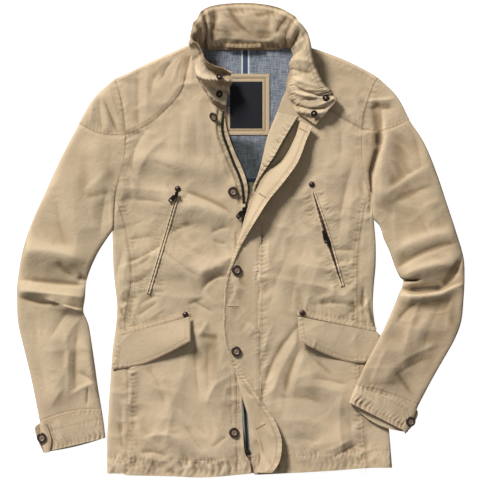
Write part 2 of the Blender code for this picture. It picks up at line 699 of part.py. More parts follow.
def make_back():
    """The back with the lining and the label that show in the neck opening."""
    panel("back", back_outline(), lambda x, y: np.full(x.shape, BACK_WALL), BACK_WALL, "cloth", step=60)
    lining_top = BACK_WALL + GAP + LINING_WALL
    outline = spline(LINING_OUTLINE + LINING_OUTLINE[:1], 34)[:-1]
    panel("back_lining", outline, lambda x, y: np.full(x.shape, lining_top), LINING_WALL, "lining", step=60)
    patch_top = lining_top + GAP + PATCH["thick"]
    label_top = patch_top + GAP + LABEL["thick"]
    for name, box, top, colour in (("label_patch", PATCH, patch_top, "cloth"),
                                   ("label", LABEL, label_top, "label")):
        (x0, x1), (y0, y1) = box["x"], box["y"]
        corners = ((x0, y0), (x1, y0), (x1, y1), (x0, y1))
        panel(name, corners, lambda x, y, z=top: np.full(x.shape, z), box["thick"], colour, step=200)


def make_fronts():
    """Both fronts, yokes and side pieces."""
    for side in ("right", "left"):
        sign = sign_of(side)
        panel(f"front_{side}", front_outline(side), body_top, WALL, "cloth")
        seam, edge, under, bow = yoke_rows(side)
        seam = shifted(seam, -sign * GAP / 2)
        for line in (seam, edge, under):
            line[0, 0] -= sign * GAP / 2
        outer, inner = wrap_rows(seam, edge, under, laid_height, bow=bow)
        grid_solid(f"front_yoke_{side}", outer, inner, "cloth")
        side_edge, side_seam = (1, 2) if side == "right" else (4, 3)
        y = side_levels(side)
        edge = np.column_stack((level(side_edge, y), y))
        seam = np.column_stack((level(side_seam, y), y))
        seam = shifted(seam, sign * GAP / 2)
        under = edge - (sign * (UNDER_TURN - GAP), 0)
        outer, inner = wrap_rows(seam, edge, under, laid_height, across=6)
        grid_solid(f"side_panel_{side}", outer, inner, "cloth")


# ---------------------------------------------------------------- sleeves
def cap_seam(side, shares):
    """The seam between sleeve and cap, from the outer edge to the armhole."""
    tip = np.array(SLEEVE[side][0][:2], float)
    corner = np.array(ARMHOLE_UPPER[side][1], float)
    share = np.asarray(shares, float)[:, None]
    return tip + (corner - tip) * share - (0, CAP_BOW) * np.sin(math.pi * share)


def first_ring(side):
    """Plan of a sleeve's first section: along the cap seam, then down the armhole."""
    lower = spline(ARMHOLE_LOWER[side], 7)[1:]
    under = spline(UNDERARM[side], 12)[[4, 8, 10, 11]]
    ring = np.vstack((cap_seam(side, 1 - wrap_shares(CAP_ROW)[::-1]), lower, under))
    return ring + (sign_of(side) * 0.5, -GAP)


def sleeve_plan(side, rows=15):
    """Plan of a sleeve from its first section down to the cuff seam."""
    first = first_ring(side)
    run = np.concatenate(([0], np.cumsum(np.linalg.norm(np.diff(first, axis=0), axis=1))))
    share = run / run[-1]
    table = resample(SLEEVE[side], rows)
    outer, inner = table[:, None, :2], table[:, None, 2:]
    plan = outer + (inner - outer) * share[None, :, None]
    fade = np.clip(1 - np.linspace(0, 1, rows) / 0.45, 0, 1) ** 1.6
    plan += (first - plan[0])[None] * fade[:, None, None]
    last = table[-1]
    way = np.array((last[3] - last[1], last[0] - last[2]))
    way *= np.sign(way[1]) / np.linalg.norm(way)
    late = np.clip((np.linspace(0, 1, rows) - 0.8) / 0.2, 0, 1)[:, None, None]
    plan += CUFF_BOW[side] * np.sin(math.pi * share)[None, :, None] * way * late
    return plan, share


def make_sleeves():
    """Sleeves, their caps and cuffs."""
    for side in ("right", "left"):
        def ground(x, y, side=side):
            return sleeve_ground(side, x, y)

        def height(x, y, side=side):
            return sleeve_height(side, x, y)

        plan, share = sleeve_plan(side)
        tube(f"sleeve_{side}", plan, ground, height)
        make_cap(side, height)
        make_cuff(side, plan[-1], share, ground, height)


def make_cap(side, height, rows=8):
    """The yoke's continuation over the sleeve head, folded over the outer edge."""
    sign = sign_of(side)
    share = np.linspace(0.06, 1, rows)
    seam = armhole_upper(side, share) + (sign * GAP, 0)
    tip = np.array(SLEEVE[side][0][:2], float)
    end = np.array(SHOULDER[side][-1], float)
    middle = (tip + end) / 2 + (sign * 5, 5)
    edge = spline((end, middle, tip), rows) + (sign * 0.6, 0)
    bow = np.outer(share ** 2, (0, -CAP_BOW))
    under = seam + (edge - seam) * 0.02
    outer, inner = wrap_rows(seam, edge, under, height, across=CAP_ROW, bow=bow)
    grid_solid(f"sleeve_cap_{side}", outer, inner, "cloth")


def make_cuff(side, seam_line, share, ground, height, rows=4):
    """A cuff continues its sleeve's last section to the mouth."""
    table = resample(CUFF[side], rows)
    plan = table[:, None, :2] + (table[:, None, 2:] - table[:, None, :2]) * share[None, :, None]
    fade = np.linspace(1, 0, rows)[:, None, None]
    plan = plan + (seam_line - plan[0])[None] * fade
    way = np.mean(plan[-1] - plan[0], axis=0)
    way = way / np.linalg.norm(way)
    plan = plan + way * 2 * GAP
    drops = [way * MOUTH_DROP[side] * t ** 2 for t in np.linspace(0, 1, rows)]
    tube(f"cuff_{side}", plan, ground, height, drop=drops)


# ---------------------------------------------------------------- collar
def collar_grid(stations=26, across=5):
    """Middle surface of the collar and its normals on the inner side: each station runs from
    the neck seam to the rim in a curve that bulges along the normal."""
    table = resample(COLLAR, stations)
    seam, rim, bulge = table[:, :3].copy(), table[:, 3:6], table[:, 6]
    seam[:, 2] += laid_height(seam[:, 0], seam[:, 1])
    t = np.linspace(0, 1, across)
    line = seam[:, None] + (rim - seam)[:, None] * t[None, :, None]
    line = line + surface_normals(line) * (bulge[:, None] * np.sin(math.pi * t)[None])[..., None]
    return line, surface_normals(line)


def surface_normals(grid):
    """Unit normals of a grid of points: rows times columns."""
    normal = np.cross(np.gradient(grid, axis=0), np.gradient(grid, axis=1))
    return normal / np.linalg.norm(normal, axis=2, keepdims=True)


def make_collar():
    """Outer and inner collar, each a layer on its own side of the middle surface."""
    line, normal = collar_grid()
    half = THIN / 2 + GAP / 2
    for name, side in (("collar_outer", -1), ("collar_inner", 1)):
        middle = line + normal * half * side
        grid_solid(name, middle + normal * THIN / 2, middle - normal * THIN / 2, "cloth")


# ---------------------------------------------------------------- pieces that lie on the cloth
TREES = {}


def tree_of(name):
    """Search tree of a finished piece, made once."""
    if name not in TREES:
        TREES[name] = BVHTree.FromObject(bpy.data.objects[name], bpy.context.evaluated_depsgraph_get())
    return TREES[name]


def seat(names, x, y):
    """Point and normal of the highest cloth of the named pieces at x, y."""
    best = None
    for name in names:
        tree = tree_of(name)
        hit, normal, _, _ = tree.ray_cast(Vector((x * MM, y * MM, 1.0)), Vector((0, 0, -1)))
        if hit is not None and (best is None or hit.z > best[0].z):
            best = (hit, normal)
    if best is None:
        raise ValueError(f"nothing of {names} at {x}, {y}")
    return np.array(best[0]) / MM, np.array(best[1])


def highest(names, spots):
    """Highest cloth of the named pieces under several points, at least the laid height."""
    found = [LAID]
    for x, y in spots:
        try:
            found.append(seat(names, x, y)[0][2])
        except ValueError:
            continue
    return max(found)


def ribbon(name, path, width, thick, names, colour, steps=12):
    """A strip along a path, laid on the named pieces."""
    line = spline(path, steps)
    edges = [shifted(line, width / 2), shifted(line, -width / 2)]
    lower = np.zeros((steps, 2, 3))
    for i in range(steps):
        ahead = (line[min(i + 1, steps - 1)] - line[i]) / 2
        back = (line[max(i - 1, 0)] - line[i]) / 2
        side = (edges[0][i] - edges[1][i]) / 2
        along = [back, back / 2, (0.0, 0.0), ahead / 2, ahead]
        spots = [line[i] + run + side * share for run in along for share in (-1, -0.5, 0, 0.5, 1)]
        for j, edge in enumerate(edges):
            lower[i, j, :2] = edge[i]
        lower[i, :, 2] = highest(names, spots) + GAP
    upper = lower + (0, 0, thick)
    return grid_solid(name, upper, lower, colour)


def make_placket():
    """Lapel facing, storm flap, and the chains, stop, slider and pull of the front zip."""
    rows = resample(LAPEL, 10)
    roll, edge = rows[:, :2], rows[:, 2:4]
    way = (edge - roll) / np.linalg.norm(edge - roll, axis=1, keepdims=True)
    first = roll + way * 1.0
    fronts = ["front_right", "front_left"]

    def lifted(x, y, reach=9.0):
        steps = ((0, 0), (reach, 0), (-reach, 0), (0, reach), (0, -reach))
        return highest(fronts, [(x + dx, y + dy) for dx, dy in steps])

    lines = list(zip(first + way * 5.5, first, edge))
    outer, inner = folded_rows(lines, lifted, THIN, rows[:, 4], radius=1.2)
    grid_solid("facing_left", outer, inner, "cloth")
    tip = (outer[:, -1] + inner[:, -1]) / 2
    out = np.column_stack((way, np.zeros(len(way))))
    near, far = tip + out * 2 * GAP, tip + out * (2 * GAP + CHAIN_WIDTH)
    upper = np.stack((near, far), axis=1) + (0, 0, CHAIN_THICK / 2)
    grid_solid("zip_chain_left", upper, upper - (0, 0, CHAIN_THICK), "metal")
    rows = resample(STORM_FLAP, 30)
    outer, inner = folded_rows(list(zip(rows[:, :2], rows[:, 2:4], rows[:, 4:6])), lifted, THIN, rows[:, 6])
    grid_solid("storm_flap", outer, inner, "cloth")
    ribbon("zip_chain_right", ZIP_CHAIN["right"], CHAIN_WIDTH, CHAIN_THICK, ["front_right"], "metal", 14)
    line = spline(ZIP_CHAIN["closed"], 14)
    sides = np.stack((shifted(line, 2.9), shifted(line, -2.9)), axis=1)
    level_top = laid_height(sides[..., 0], sides[..., 1]).min(axis=1, keepdims=True)
    level_top = np.repeat(level_top, 2, axis=1) - 0.2
    upper = np.dstack((sides, level_top))
    grid_solid("zip_chain_closed", upper, upper - (0, 0, CHAIN_THICK), "metal")
    x, y = ZIP_STOP
    ribbon("zip_stop", ((x - 8, y + 1), (x + 8, y - 1)), 4.5, 2.0, ["front_right", "front_left"], "metal", 2)


def box_mesh(name, corners_low, size, colour):
    """A box from its lowest corner and size."""
    x, y, z = corners_low
    lower = np.array([[(x, y, z), (x + size[0], y, z)], [(x, y + size[1], z), (x + size[0], y + size[1], z)]])
    return grid_solid(name, lower + (0, 0, size[2]), lower, colour)


def make_slider(name, spot, zip_way, pull_way, names):
    """A slider with two ears and the pull tab that swings between them.

    The pull is an open frame whose narrow end lies between the ears, on the hinge's axis."""
    length, width, height = SLIDER["length"], SLIDER["width"], SLIDER["height"]
    below = [(spot[0] + dx, spot[1] + dy) for dx in (-4, 0, 4) for dy in (-6, 0, 6)]
    base = highest(names, below) + GAP
    zip_turn = math.atan2(zip_way[1], zip_way[0])
    pull_turn = math.atan2(pull_way[1], pull_way[0])
    body = box_mesh(f"{name}_slider", (-length / 2, -width / 2, 0), (length, width, height), "metal")
    body.matrix_world = (Matrix.Translation(Vector((*spot, base)) * MM)
                         @ Matrix.Rotation(zip_turn, 4, "Z"))
    ears = box_mesh(f"{name}_ears", (-1.6, 1.8, height - 0.5), (3.2, 1.2, 3.4), "metal")
    second = ears.data.copy()
    second.transform(Matrix.Translation((0, -4.8 * MM, 0)))
    joined = bmesh.new()
    joined.from_mesh(ears.data)
    joined.from_mesh(second)
    joined.to_mesh(ears.data)
    joined.free()
    ears.matrix_world = (Matrix.Translation(Vector((*spot, base)) * MM)
                         @ Matrix.Rotation(pull_turn, 4, "Z"))
    ears.hide_render = True
    ears.display_type = "WIRE"
    union = body.modifiers.new("ears", "BOOLEAN")
    union.operation = "UNION"
    union.object = ears
    axis_z = base + height + PIN_LIFT
    make_pull(f"{name}_pull", spot, axis_z, pull_way, pull_turn, names)


def make_pull(name, spot, axis_z, way, turn, names):
    """The pull tab, lying on the cloth from its hinge, with its origin on the axis."""
    length, width, thick, window = PULL["length"], PULL["width"], PULL["thick"], PULL["window"]
    neck = 1.3
    outline = [(-0.9, -neck), (2.6, -neck), (5.5, -width / 2), (length, -width / 2),
               (length, width / 2), (5.5, width / 2), (2.6, neck), (-0.9, neck)]
    hole = [(length - 6.8, -0.9), (length - 6.6, -1.1), (length - 5.8, -window / 2),
            (length - 2, -window / 2), (length - 2, window / 2), (length - 5.8, window / 2),
            (length - 6.6, 1.1), (length - 6.8, 0.9)]
    upper = np.array([[(x, y, thick / 2) for x, y in outline], [(x, y, thick / 2) for x, y in hole]])
    pull = grid_solid(name, upper, upper - (0, 0, thick), "metal", closed=True)
    slopes = []
    for run in np.linspace(5, length, 6):
        for aside in (-width / 2, 0, width / 2):
            x = spot[0] + way[0] * run - way[1] * aside
            y = spot[1] + way[1] * run + way[0] * aside
            slopes.append((highest(names, [(x, y)]) + GAP + thick / 2 + 0.15 - axis_z) / run)
    slopes.append((GAP + thick / 2 - PIN_LIFT) / (SLIDER["length"] / 2 + 0.5))
    tilt = math.atan(max(slopes))
    pull.matrix_world = (Matrix.Translation(Vector((*spot, axis_z)) * MM) @ Matrix.Rotation(turn, 4, "Z")
                         @ Matrix.Rotation(-tilt, 4, "Y"))


def make_pockets():
    """Chest zips with their welts, and the lower pockets' welts and flaps."""
    for side in ("right", "left"):
        front = f"front_{side}"
        top, bottom = (np.array(p, float) for p in CHEST_ZIP[side])
        way = (bottom - top) / np.linalg.norm(bottom - top)
        ribbon(f"chest_welt_{side}", (top, bottom), CHEST_WELT_WIDTH, 0.8, [front], "cloth", 26)
        ribbon(f"chest_zip_{side}", (top, bottom), 3.4, 1.0, [f"chest_welt_{side}"], "metal", 26)
        make_slider(f"chest_{side}", CHEST_SLIDER[side], way, CHEST_PULL_WAY[side],
                    [front, f"chest_welt_{side}", f"chest_zip_{side}"])
        corner_x, corner_y, lift = FLAP_LIFT[side]

        def flap_top(x, y, cx=corner_x, cy=corner_y, rise=lift):
            near = np.exp(-((x - cx) / 62) ** 2 - ((y - cy) / 34) ** 2)
            below = np.maximum(body_top(x, y), body_top(x * FLAP_HOLD, y))
            return below + 4 * GAP + THIN + rise * near

        outline = np.vstack([spline(pair, 6)[:-1] for pair in
                             zip(POCKET_FLAP[side], POCKET_FLAP[side][1:] + POCKET_FLAP[side][:1])])
        panel(f"pocket_flap_{side}", outline, flap_top, THIN, "cloth", step=16)
        ribbon(f"pocket_welt_{side}", POCKET_WELT[side], 7.0, 0.9, [front, f"side_panel_{side}"], "cloth")


def make_buttons():
    """Front and cuff buttons, collar snaps and rivets, each seated on what carries it."""
    r = BUTTON_RADIUS
    shape = ((0, 0), (2.2, 0), (2.2, 1.2), (r - 1.6, 1.4), (r, 2.4), (r - 0.3, 3.8), (r - 1.6, 4.2),
             (r - 3.2, 3.2), (0, 3.0))
    carriers = ["front_right", "storm_flap"]
    for number, (x, y) in enumerate(BUTTONS, start=1):
        spot = seat(carriers, x, y)[0]
        ring = [(x + 2.3 * math.cos(a), y + 2.3 * math.sin(a)) for a in range(6)]
        spot[2] = highest(carriers, ring) + GAP
        place(turned(f"button_{number}", shape, 10, "button"), spot)
    for side in ("right", "left"):
        sign = sign_of(side)
        make_cuff_tab(side)
        x, y = CUFF_BUTTONS[side]
        spot, normal = seat([f"cuff_tab_{side}"], x, y)
        place(turned(f"cuff_button_{side}", shape, 10, "button"), spot + normal * 0.7, normal)
    r = SNAP_RADIUS
    cap = ((0, 0), (r - 0.8, 0), (r, 0.5), (r - 0.6, 1.3), (r - 2.6, 1.5), (0, 1.2))
    for name, (x, y) in SNAPS.items():
        spot, normal = seat(["collar_outer", "collar_inner"], x, y)
        place(turned(f"snap_{name}", cap, 10, "metal"), spot + normal * SNAP_LIFT, normal)
    for name, (x, y) in RIVETS.items():
        carriers = [f"front_{name.split('_')[1]}", name_of_welt(name)]
        ring = [(x + 5 * math.cos(a), y + 5 * math.sin(a)) for a in range(6)]
        dome = ((0, 0), (5.2, 0), (5.4, 0.6), (4.0, 1.9), (0, 2.4))
        place(turned(f"rivet_{name}", dome, 10, "rivet"), (x, y, highest(carriers, ring) + GAP))


def name_of_welt(rivet):
    """The welt beside which a rivet sits."""
    place_name, side = rivet.split("_")
    return f"chest_welt_{side}" if place_name == "chest" else f"pocket_welt_{side}"


def make_cuff_tab(side):
    """The tab that is buttoned over a cuff's outer edge."""
    first, last = CUFF[side][0], CUFF[side][-1]
    start = np.array(first[:2], float)
    way = np.array(last[:2], float) - start
    way /= np.linalg.norm(way)
    inward = np.array((way[1], -way[0]))
    if inward[0] * sign_of(side) > 0:
        inward = -inward

    def top(x, y, clear=TAB_CLEAR[side]):
        near = (x - start[0]) * inward[0] + (y - start[1]) * inward[1]
        base = sleeve_ground(side, x, y)
        half = LAID / 2
        return base + half + (sleeve_height(side, x, y) - half) * rolled(near + 1.5) + clear + THIN

    panel(f"cuff_tab_{side}", CUFF_TAB[side], top, THIN, "cloth", step=9)


def make_hanger():
    """The loop that the jacket hangs by, across the inside of the collar's base."""
    x0, x1 = HANGER["x"]
    y = HANGER["y"]
    ribbon("hanger_loop", ((x0, y), ((x0 + x1) / 2, y - 1.5), (x1, y)), HANGER["width"], 1.0,
           ["collar_inner", "back_lining"], "cloth", 7)


# ---------------------------------------------------------------- build
def main():
    """Clears the scene and builds every piece."""
    for item in list(bpy.data.objects):
        bpy.data.objects.remove(item, do_unlink=True)
    make_back()
    make_fronts()
    make_sleeves()
    make_collar()
    make_hanger()
    make_pockets()
    make_placket()
    make_slider("front", FRONT_SLIDER, (0.05, -1.0), FRONT_PULL_WAY,
                ["front_right", "front_left", "zip_chain_closed", "zip_chain_right"])
    make_buttons()


main()
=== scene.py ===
"""Field jacket laid flat on its back: fine cloth surfaces, trims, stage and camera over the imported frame.

Tables are in millimetres: X across, Y towards the collar, Z up from the surface. "right" and "left"
are the wearer's, so right pieces lie at negative X. It is laid out as an add-on and run as a script.
"""

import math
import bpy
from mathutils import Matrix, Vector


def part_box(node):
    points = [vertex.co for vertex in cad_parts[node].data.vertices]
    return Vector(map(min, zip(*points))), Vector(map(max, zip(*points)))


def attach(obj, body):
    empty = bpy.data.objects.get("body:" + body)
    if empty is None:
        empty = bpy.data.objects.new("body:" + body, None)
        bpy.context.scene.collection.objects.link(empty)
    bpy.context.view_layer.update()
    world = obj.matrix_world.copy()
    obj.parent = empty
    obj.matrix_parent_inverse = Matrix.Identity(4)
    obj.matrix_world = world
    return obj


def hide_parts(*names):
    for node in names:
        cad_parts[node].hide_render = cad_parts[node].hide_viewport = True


bl_info = {
    "name": "Field Jacket",
    "version": (1, 0, 0),
    "blender": (4, 5, 0),
    "location": "View3D > Sidebar > Jacket",
    "description": "Builds a field jacket laid flat, piece by piece, over its packed frame",
    "category": "Object",
}

import bpy
import numpy as np
from bpy.props import FloatProperty, FloatVectorProperty, PointerProperty
from bpy.types import Operator, Panel, PropertyGroup
from mathutils import Vector
from mathutils.bvhtree import BVHTree

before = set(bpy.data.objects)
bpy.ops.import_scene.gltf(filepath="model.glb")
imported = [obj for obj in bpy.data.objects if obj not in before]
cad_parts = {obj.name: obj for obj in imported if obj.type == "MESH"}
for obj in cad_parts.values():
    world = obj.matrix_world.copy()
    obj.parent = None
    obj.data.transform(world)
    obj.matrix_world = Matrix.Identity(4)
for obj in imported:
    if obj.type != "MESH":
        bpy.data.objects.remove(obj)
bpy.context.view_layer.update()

MM = 0.001
GAP = 0.3               # between pieces that rest on each other
WALL = 2.2              # lined shell cloth
THIN = 1.4              # flaps, collar layers and tabs
LAID = 8.0              # height of the laid body's upper cloth
BACK_WALL = 2.2
EDGE_ROUND = 13.0       # how far from an outline the cloth rolls down
UNDER_ROUND = 9.0
UNDER_TURN = 20.0       # how far a wrapped piece reaches back under the body
SAME_POINT = 0.05       # points closer than this are one
NOISE_REACH = 850       # how far from the frame's origin the noise lattice reaches
BODY = "jacket"
SIDES = ("right", "left")
SIGN = {"right": -1, "left": 1}         # of X on each side
EDGE_COLUMN = {"right": 1, "left": 4}   # of BODY_LEVELS
SEAM_COLUMN = {"right": 2, "left": 3}

# Body, one row for each level: height, edge and side seam of the wearer's right, then left.
BODY_LEVELS = (
    # y, right_edge, right_seam, left_seam, left_edge
    (128, -227, -224, 233, 235),
    (112, -228, -217, 224, 239),
    (86, -229, -209, 220, 241),
    (49, -229, -202, 214, 244),
    (9, -228, -196, 211, 244),
    (-25, -225, -196, 211, 241),
    (-63, -221, -202, 210, 239),
    (-99, -223, -207, 212, 243),
    (-144, -229, -205, 214, 252),
    (-198, -233, -202, 216, 260),
    (-260, -237, -202, 220, 266),
    (-310, -239, -203, 224, 270),
    (-372, -239, -207, 228, 275),
)
HEM = ((-239, -366), (-207, -369), (-126, -371), (-60, -373), (22, -366),
       (26, -368), (74, -366), (166, -361), (228, -356), (275, -354))
SHOULDER = {"right": ((-90, 406), (-115, 395), (-157, 376), (-198, 356), (-225, 344)),
            "left": ((126, 400), (146, 394), (193, 376), (234, 355), (248, 346))}
ARMHOLE_UPPER = {"right": ((-225, 344), (-206, 243), 4.0), "left": ((248, 346), (220, 253), 6.0)}
ARMHOLE_LOWER = {"right": ((-206, 243), (-207, 207), (-214, 176), (-223, 148), (-227, 128)),
                 "left": ((220, 253), (220, 216), (222, 189), (227, 160), (235, 128))}
UNDERARM = {"right": ((-227, 128), (-228, 112), (-229, 72)),
            "left": ((235, 128), (239, 112), (242, 90))}
YOKE_SEAM = {"right": ((-206, 243), (-184, 252), (-157, 268), (-126, 296), (-104, 326), (-91, 384)),
             "left": ((220, 253), (193, 268), (166, 284), (140, 301), (121, 322), (111, 384))}
NECKLINE = {"right": ((-91, 384), (-83, 370), (-67, 344), (-55, 321), (-44, 303), (-29, 290)),
            "left": ((111, 384), (98, 372), (87, 352), (84, 338), (82, 322), (77, 312))}
OPENING = {"right": ((-29, 290), (-26, 264), (-20, 241), (-11, 216), (2, 187), (11, 163),
                     (14, 141), (10, 119), (3, 96)),
           "left": ((77, 312), (64, 278), (50, 243), (41, 205), (32, 166), (22, 142), (15, 118), (10, 96))}
CENTRE = {"right": ((3, 96), (3, -60), (3, -216), (4, -260), (7, -316), (10, -333), (17, -343), (20, -366)),
          "left": ((10, 96), (10, -60), (10, -216), (13.5, -254), (19, -327), (26, -368))}

# Sleeves, one row for each section: outer and inner edge in plan.
SLEEVE = {
    "right": (
        # outer_x, outer_y, inner_x, inner_y
        (-289, 265, -229, 72),
        (-322, 202, -243, 52),
        (-349, 142, -257, 29),
        (-372, 92, -270, 0),
        (-390, 38, -277, -24),
        (-400, -20, -279, -50),
        (-401, -61, -282, -73),
        (-399, -95, -276, -89),
        (-391, -131, -271, -106),
        (-380, -175, -262, -165),
        (-371, -216, -256, -208),
        (-360, -272, -249, -250),
    ),
    "left": (
        (304, 271, 242, 90),
        (331, 230, 252, 78),
        (353, 177, 259, 56),
        (372, 120, 269, 34),
        (389, 68, 278, 8),
        (402, 23, 287, -12),
        (404, -14, 294, -21),
        (402, -55, 285, -45),
        (398, -92, 273, -75),
        (386, -125, 255, -112),
        (364, -164, 236, -148),
        (342, -203, 222, -176),
        (321, -243, 208, -207),
    ),
}
CAP_BOW = 9.0           # how far the cap seam bows away from its chord
CUFF = {
    "right": ((-360, -272, -249, -250), (-356, -300, -245, -276), (-352, -328, -242, -302)),
    "left": ((321, -243, 208, -207), (311, -268, 202, -222), (301, -292, 196, -238)),
}
CUFF_BOW = {"right": 7.0, "left": 4.0}
MOUTH_DROP = {"right": 3.0, "left": 12.0}   # how far the under layer shows below a cuff's mouth
TAB_CLEAR = {"right": 1.8, "left": 3.0}     # between a tab and the rounded cuff below it

# Soft ridges of the laid cloth: two ends, half width and height.
BODY_FOLDS = (
    # x0, y0, x1, y1, width, height
    (-190, 205, -40, 178, 20, 5), (-150, 128, -20, 96, 22, 5.5), (-160, 30, -60, -10, 24, 4),
    (-75, -5, -15, 22, 16, 4.5), (-130, -60, -70, -140, 20, 4), (-60, -170, -30, -330, 24, 5),
    (-150, -200, -120, -330, 26, 4), (-110, -300, -40, -345, 18, 4), (60, -30, 130, -210, 26, 6),
    (50, -200, 110, -300, 24, 5), (110, 10, 190, -60, 24, 4.5), (120, -190, 190, -240, 24, 5),
    (140, -330, 200, -290, 22, 4.5), (150, 120, 190, 60, 20, 4), (-120, 190, -90, 270, 26, 3.5),
    (135, 220, 190, 170, 24, 3.5), (-150, 330, -120, 290, 16, 3),
)
SLEEVE_FOLDS = {
    "right": (
        (-385, 40, -290, 20, 24, 9), (-392, -30, -300, -60, 18, 9), (-345, -55, -286, -74, 9, 5),
        (-340, -110, -330, -235, 22, 6), (-290, -120, -262, -215, 16, 4), (-262, 225, -250, 130, 22, 5),
        (-330, 160, -280, 60, 30, 5), (-245, 320, -238, 255, 12, 3),
    ),
    "left": (
        (256, 245, 262, 130, 20, 6), (300, 40, 375, 60, 24, 8), (300, -8, 392, 20, 20, 9),
        (296, -52, 375, -40, 12, 8), (340, -90, 285, -150, 22, 6), (320, 200, 350, 90, 26, 4),
        (300, -170, 250, -200, 16, 3.5),
    ),
}

# Storm flap, one row for each section: seam, fold and free edge in plan, and how high the
# free edge stands over the front.
STORM_FLAP = (
    # seam_x, seam_y, fold_x, fold_y, free_x, free_y, lift
    (112, 267, 107, 269, 130, 257, 9),
    (106, 237, 100, 240, 120, 235, 11),
    (94, 200, 80, 203, 104, 194, 12),
    (68, 166, 46, 172, 80, 160, 12),
    (44, 134, 27, 138, 53, 127, 12),
    (38, 106, 13, 108, 36, 101, 13),
    (38, 72, 2, 68, 17, 70, 12),
    (38, 44, -8, 38, 0, 40, 9),
    (38, 14, -17, 10, -12, 11, 5),
    (37, -16, -25, -18, -21, -18, 3),
    (37, -72, -29, -72, -25, -72, 3),
    (37, -120, -28, -125, -24, -125, 3),
    (37, -160, -20, -155, -14, -158, 4),
    (38, -190, -6, -190, 6, -189, 5),
    (38, -216, 1, -216, 27, -218, 5),
    (39, -242, 9, -243, 44, -244, 6),
    (42, -268, 18, -270, 60, -266, 7),
    (46, -296, 29, -299, 73, -296, 9),
    (50, -322, 37, -324, 75, -322, 10),
    (48, -346, 36, -346, 70, -346, 9),
    (42, -364, 30, -364, 58, -364, 6),
)

# Lapel: the left front's opening edge turned back, so its facing shows.
LAPEL = (
    # roll_x, roll_y, edge_x, edge_y, lift
    (67, 284, 103, 276, 4),
    (55, 255, 91, 256, 6),
    (47, 232, 75, 229, 7),
    (41, 205, 61, 204, 7),
    (35, 181, 47, 183, 6),
    (28, 160, 34, 164, 4),
    (22, 146, 26, 147, 2),
)

# Stand collar, one row for each station from the right end round the back to the left end.
COLLAR = (
    # seam_x, seam_y, seam_lift, rim_x, rim_y, rim_z, bulge
    (-27, 290, 2.0, -15, 354, 21, -6),
    (-50, 301, 2.0, -28, 361, 27, -9),
    (-63, 322, 2.0, -48, 367, 40, -8),
    (-75, 345, 2.0, -62, 378, 50, -7),
    (-84, 372, 2.0, -72, 404, 54, -5),
    (-85, 392, 1.0, -84, 418, 54, -2),
    (-68, 399, -2.0, -78, 443, 44, 6),
    (-46, 397, -2.0, -57, 471, 24, 8),
    (0, 396, -2.0, 2, 480, 16, 9),
    (54, 396, -2.0, 62, 473, 22, 8),
    (86, 400, -1.0, 100, 450, 40, 5),
    (95, 388, 1.0, 122, 416, 42, 3),
    (90, 365, 2.5, 132, 370, 36, 4),
    (88, 338, 2.5, 150, 334, 28, 7),
    (88, 312, 3.5, 164, 321, 24, 8),
    (102, 285, 5, 169, 313, 22, 7),
    (136, 261, 7, 176, 308, 21, 5),
)
LINING_OUTLINE = ((-87, 394), (-60, 401), (0, 401), (60, 401), (98, 394), (108, 300), (80, 200),
                  (50, 130), (10, 96), (-40, 150), (-62, 230), (-84, 300))
PATCH = {"x": (-31, 53), "y": (243, 353)}
LABEL = {"x": (-18, 40), "y": (255, 339)}
HANGER = {"x": (-25, 38), "y": 404, "width": 7}

# Lower pockets and the trims of the front.
POCKET_FLAP = {
    "right": ((-222, -120), (-89, -83), (-89, -128), (-129, -150), (-170, -168), (-203, -175), (-230, -178)),
    "left": ((103, -83), (247, -111.4), (252, -124), (232, -166), (203, -166), (171, -158), (138, -144),
             (107, -127)),
}
POCKET_WELT = {"right": ((-218, -116), (-90, -79)), "left": ((103, -78), (245, -107))}
FLAP_HOLD = 0.965       # near the side a flap keeps the height of the cloth this share inwards
FLAP_LIFT = {"right": (-95, -132, 9.0), "left": (112, -132, 8.0)}   # corner x, y and lift
CHEST_ZIP = {"right": ((-111, 139), (-165, -42)), "left": ((130, 145), (184, -29))}
CHEST_SLIDER = {"right": (-114, 136), "left": (151, 66)}
FRONT_SLIDER = (7.2, 108.0)
PULL = {"length": 19.0, "width": 8.4, "thick": 1.3, "window": 4.0}
SLIDER = {"length": 10.0, "width": 6.2, "height": 2.4}
PIN_LIFT = 1.7          # a pull's hinge axis over its slider's top
ZIP_CHAIN = {
    "right": ((-31, 286), (-32, 254), (-29, 238), (-21, 217), (-12, 193), (-3, 173), (4, 150), (7, 119)),
    "closed": ((6.5, 94), (6.5, -60), (6.5, -216), (8.6, -260), (12.4, -316), (13.2, -324)),
}
ZIP_STOP = (13.0, -330.0)
# Seams of the band that the closed zip is sewn on.
ZIP_BAND = {"edge": ((-8, 66), (-9, -60), (-8, -180), (-7, -260)), "side": ((-18, -186), (-17, -230), (-16, -276))}
RIVETS = {"chest_right": (-112, 146), "chest_left": (129, 154),
          "pocket_right": (-98, -80), "pocket_left": (112, -77)}
BUTTONS = ((-46, 276), (-13, 141), (-6, 0), (-7, -146), (-11, -292))
BUTTON_RADIUS = 9.0
CUFF_BUTTONS = {"right": (-356, -301), "left": (306, -272)}
SNAPS = {"right_upper": (-37, 346), "right_lower": (-37, 316),
         "left_upper": (154, 309), "left_lower": (133, 281)}
SNAP_RADIUS = 6.0

# Grid over the laid jacket that the creases are placed on.
SQUARE = 1.8            # in millimetres
ORIGIN = (240, 270)     # squares from the grid's upper left corner to the frame's origin


def from_grid(table):
    """Rows of a crease table moved from the grid's squares to millimetres in the frame."""
    rows = np.array(table, float)
    rows[:, [0, 2]] = (rows[:, [0, 2]] - ORIGIN[0]) * SQUARE
    rows[:, [1, 3]] = (ORIGIN[1] - rows[:, [1, 3]]) * SQUARE
    rows[:, 4:6] *= SQUARE
    return rows


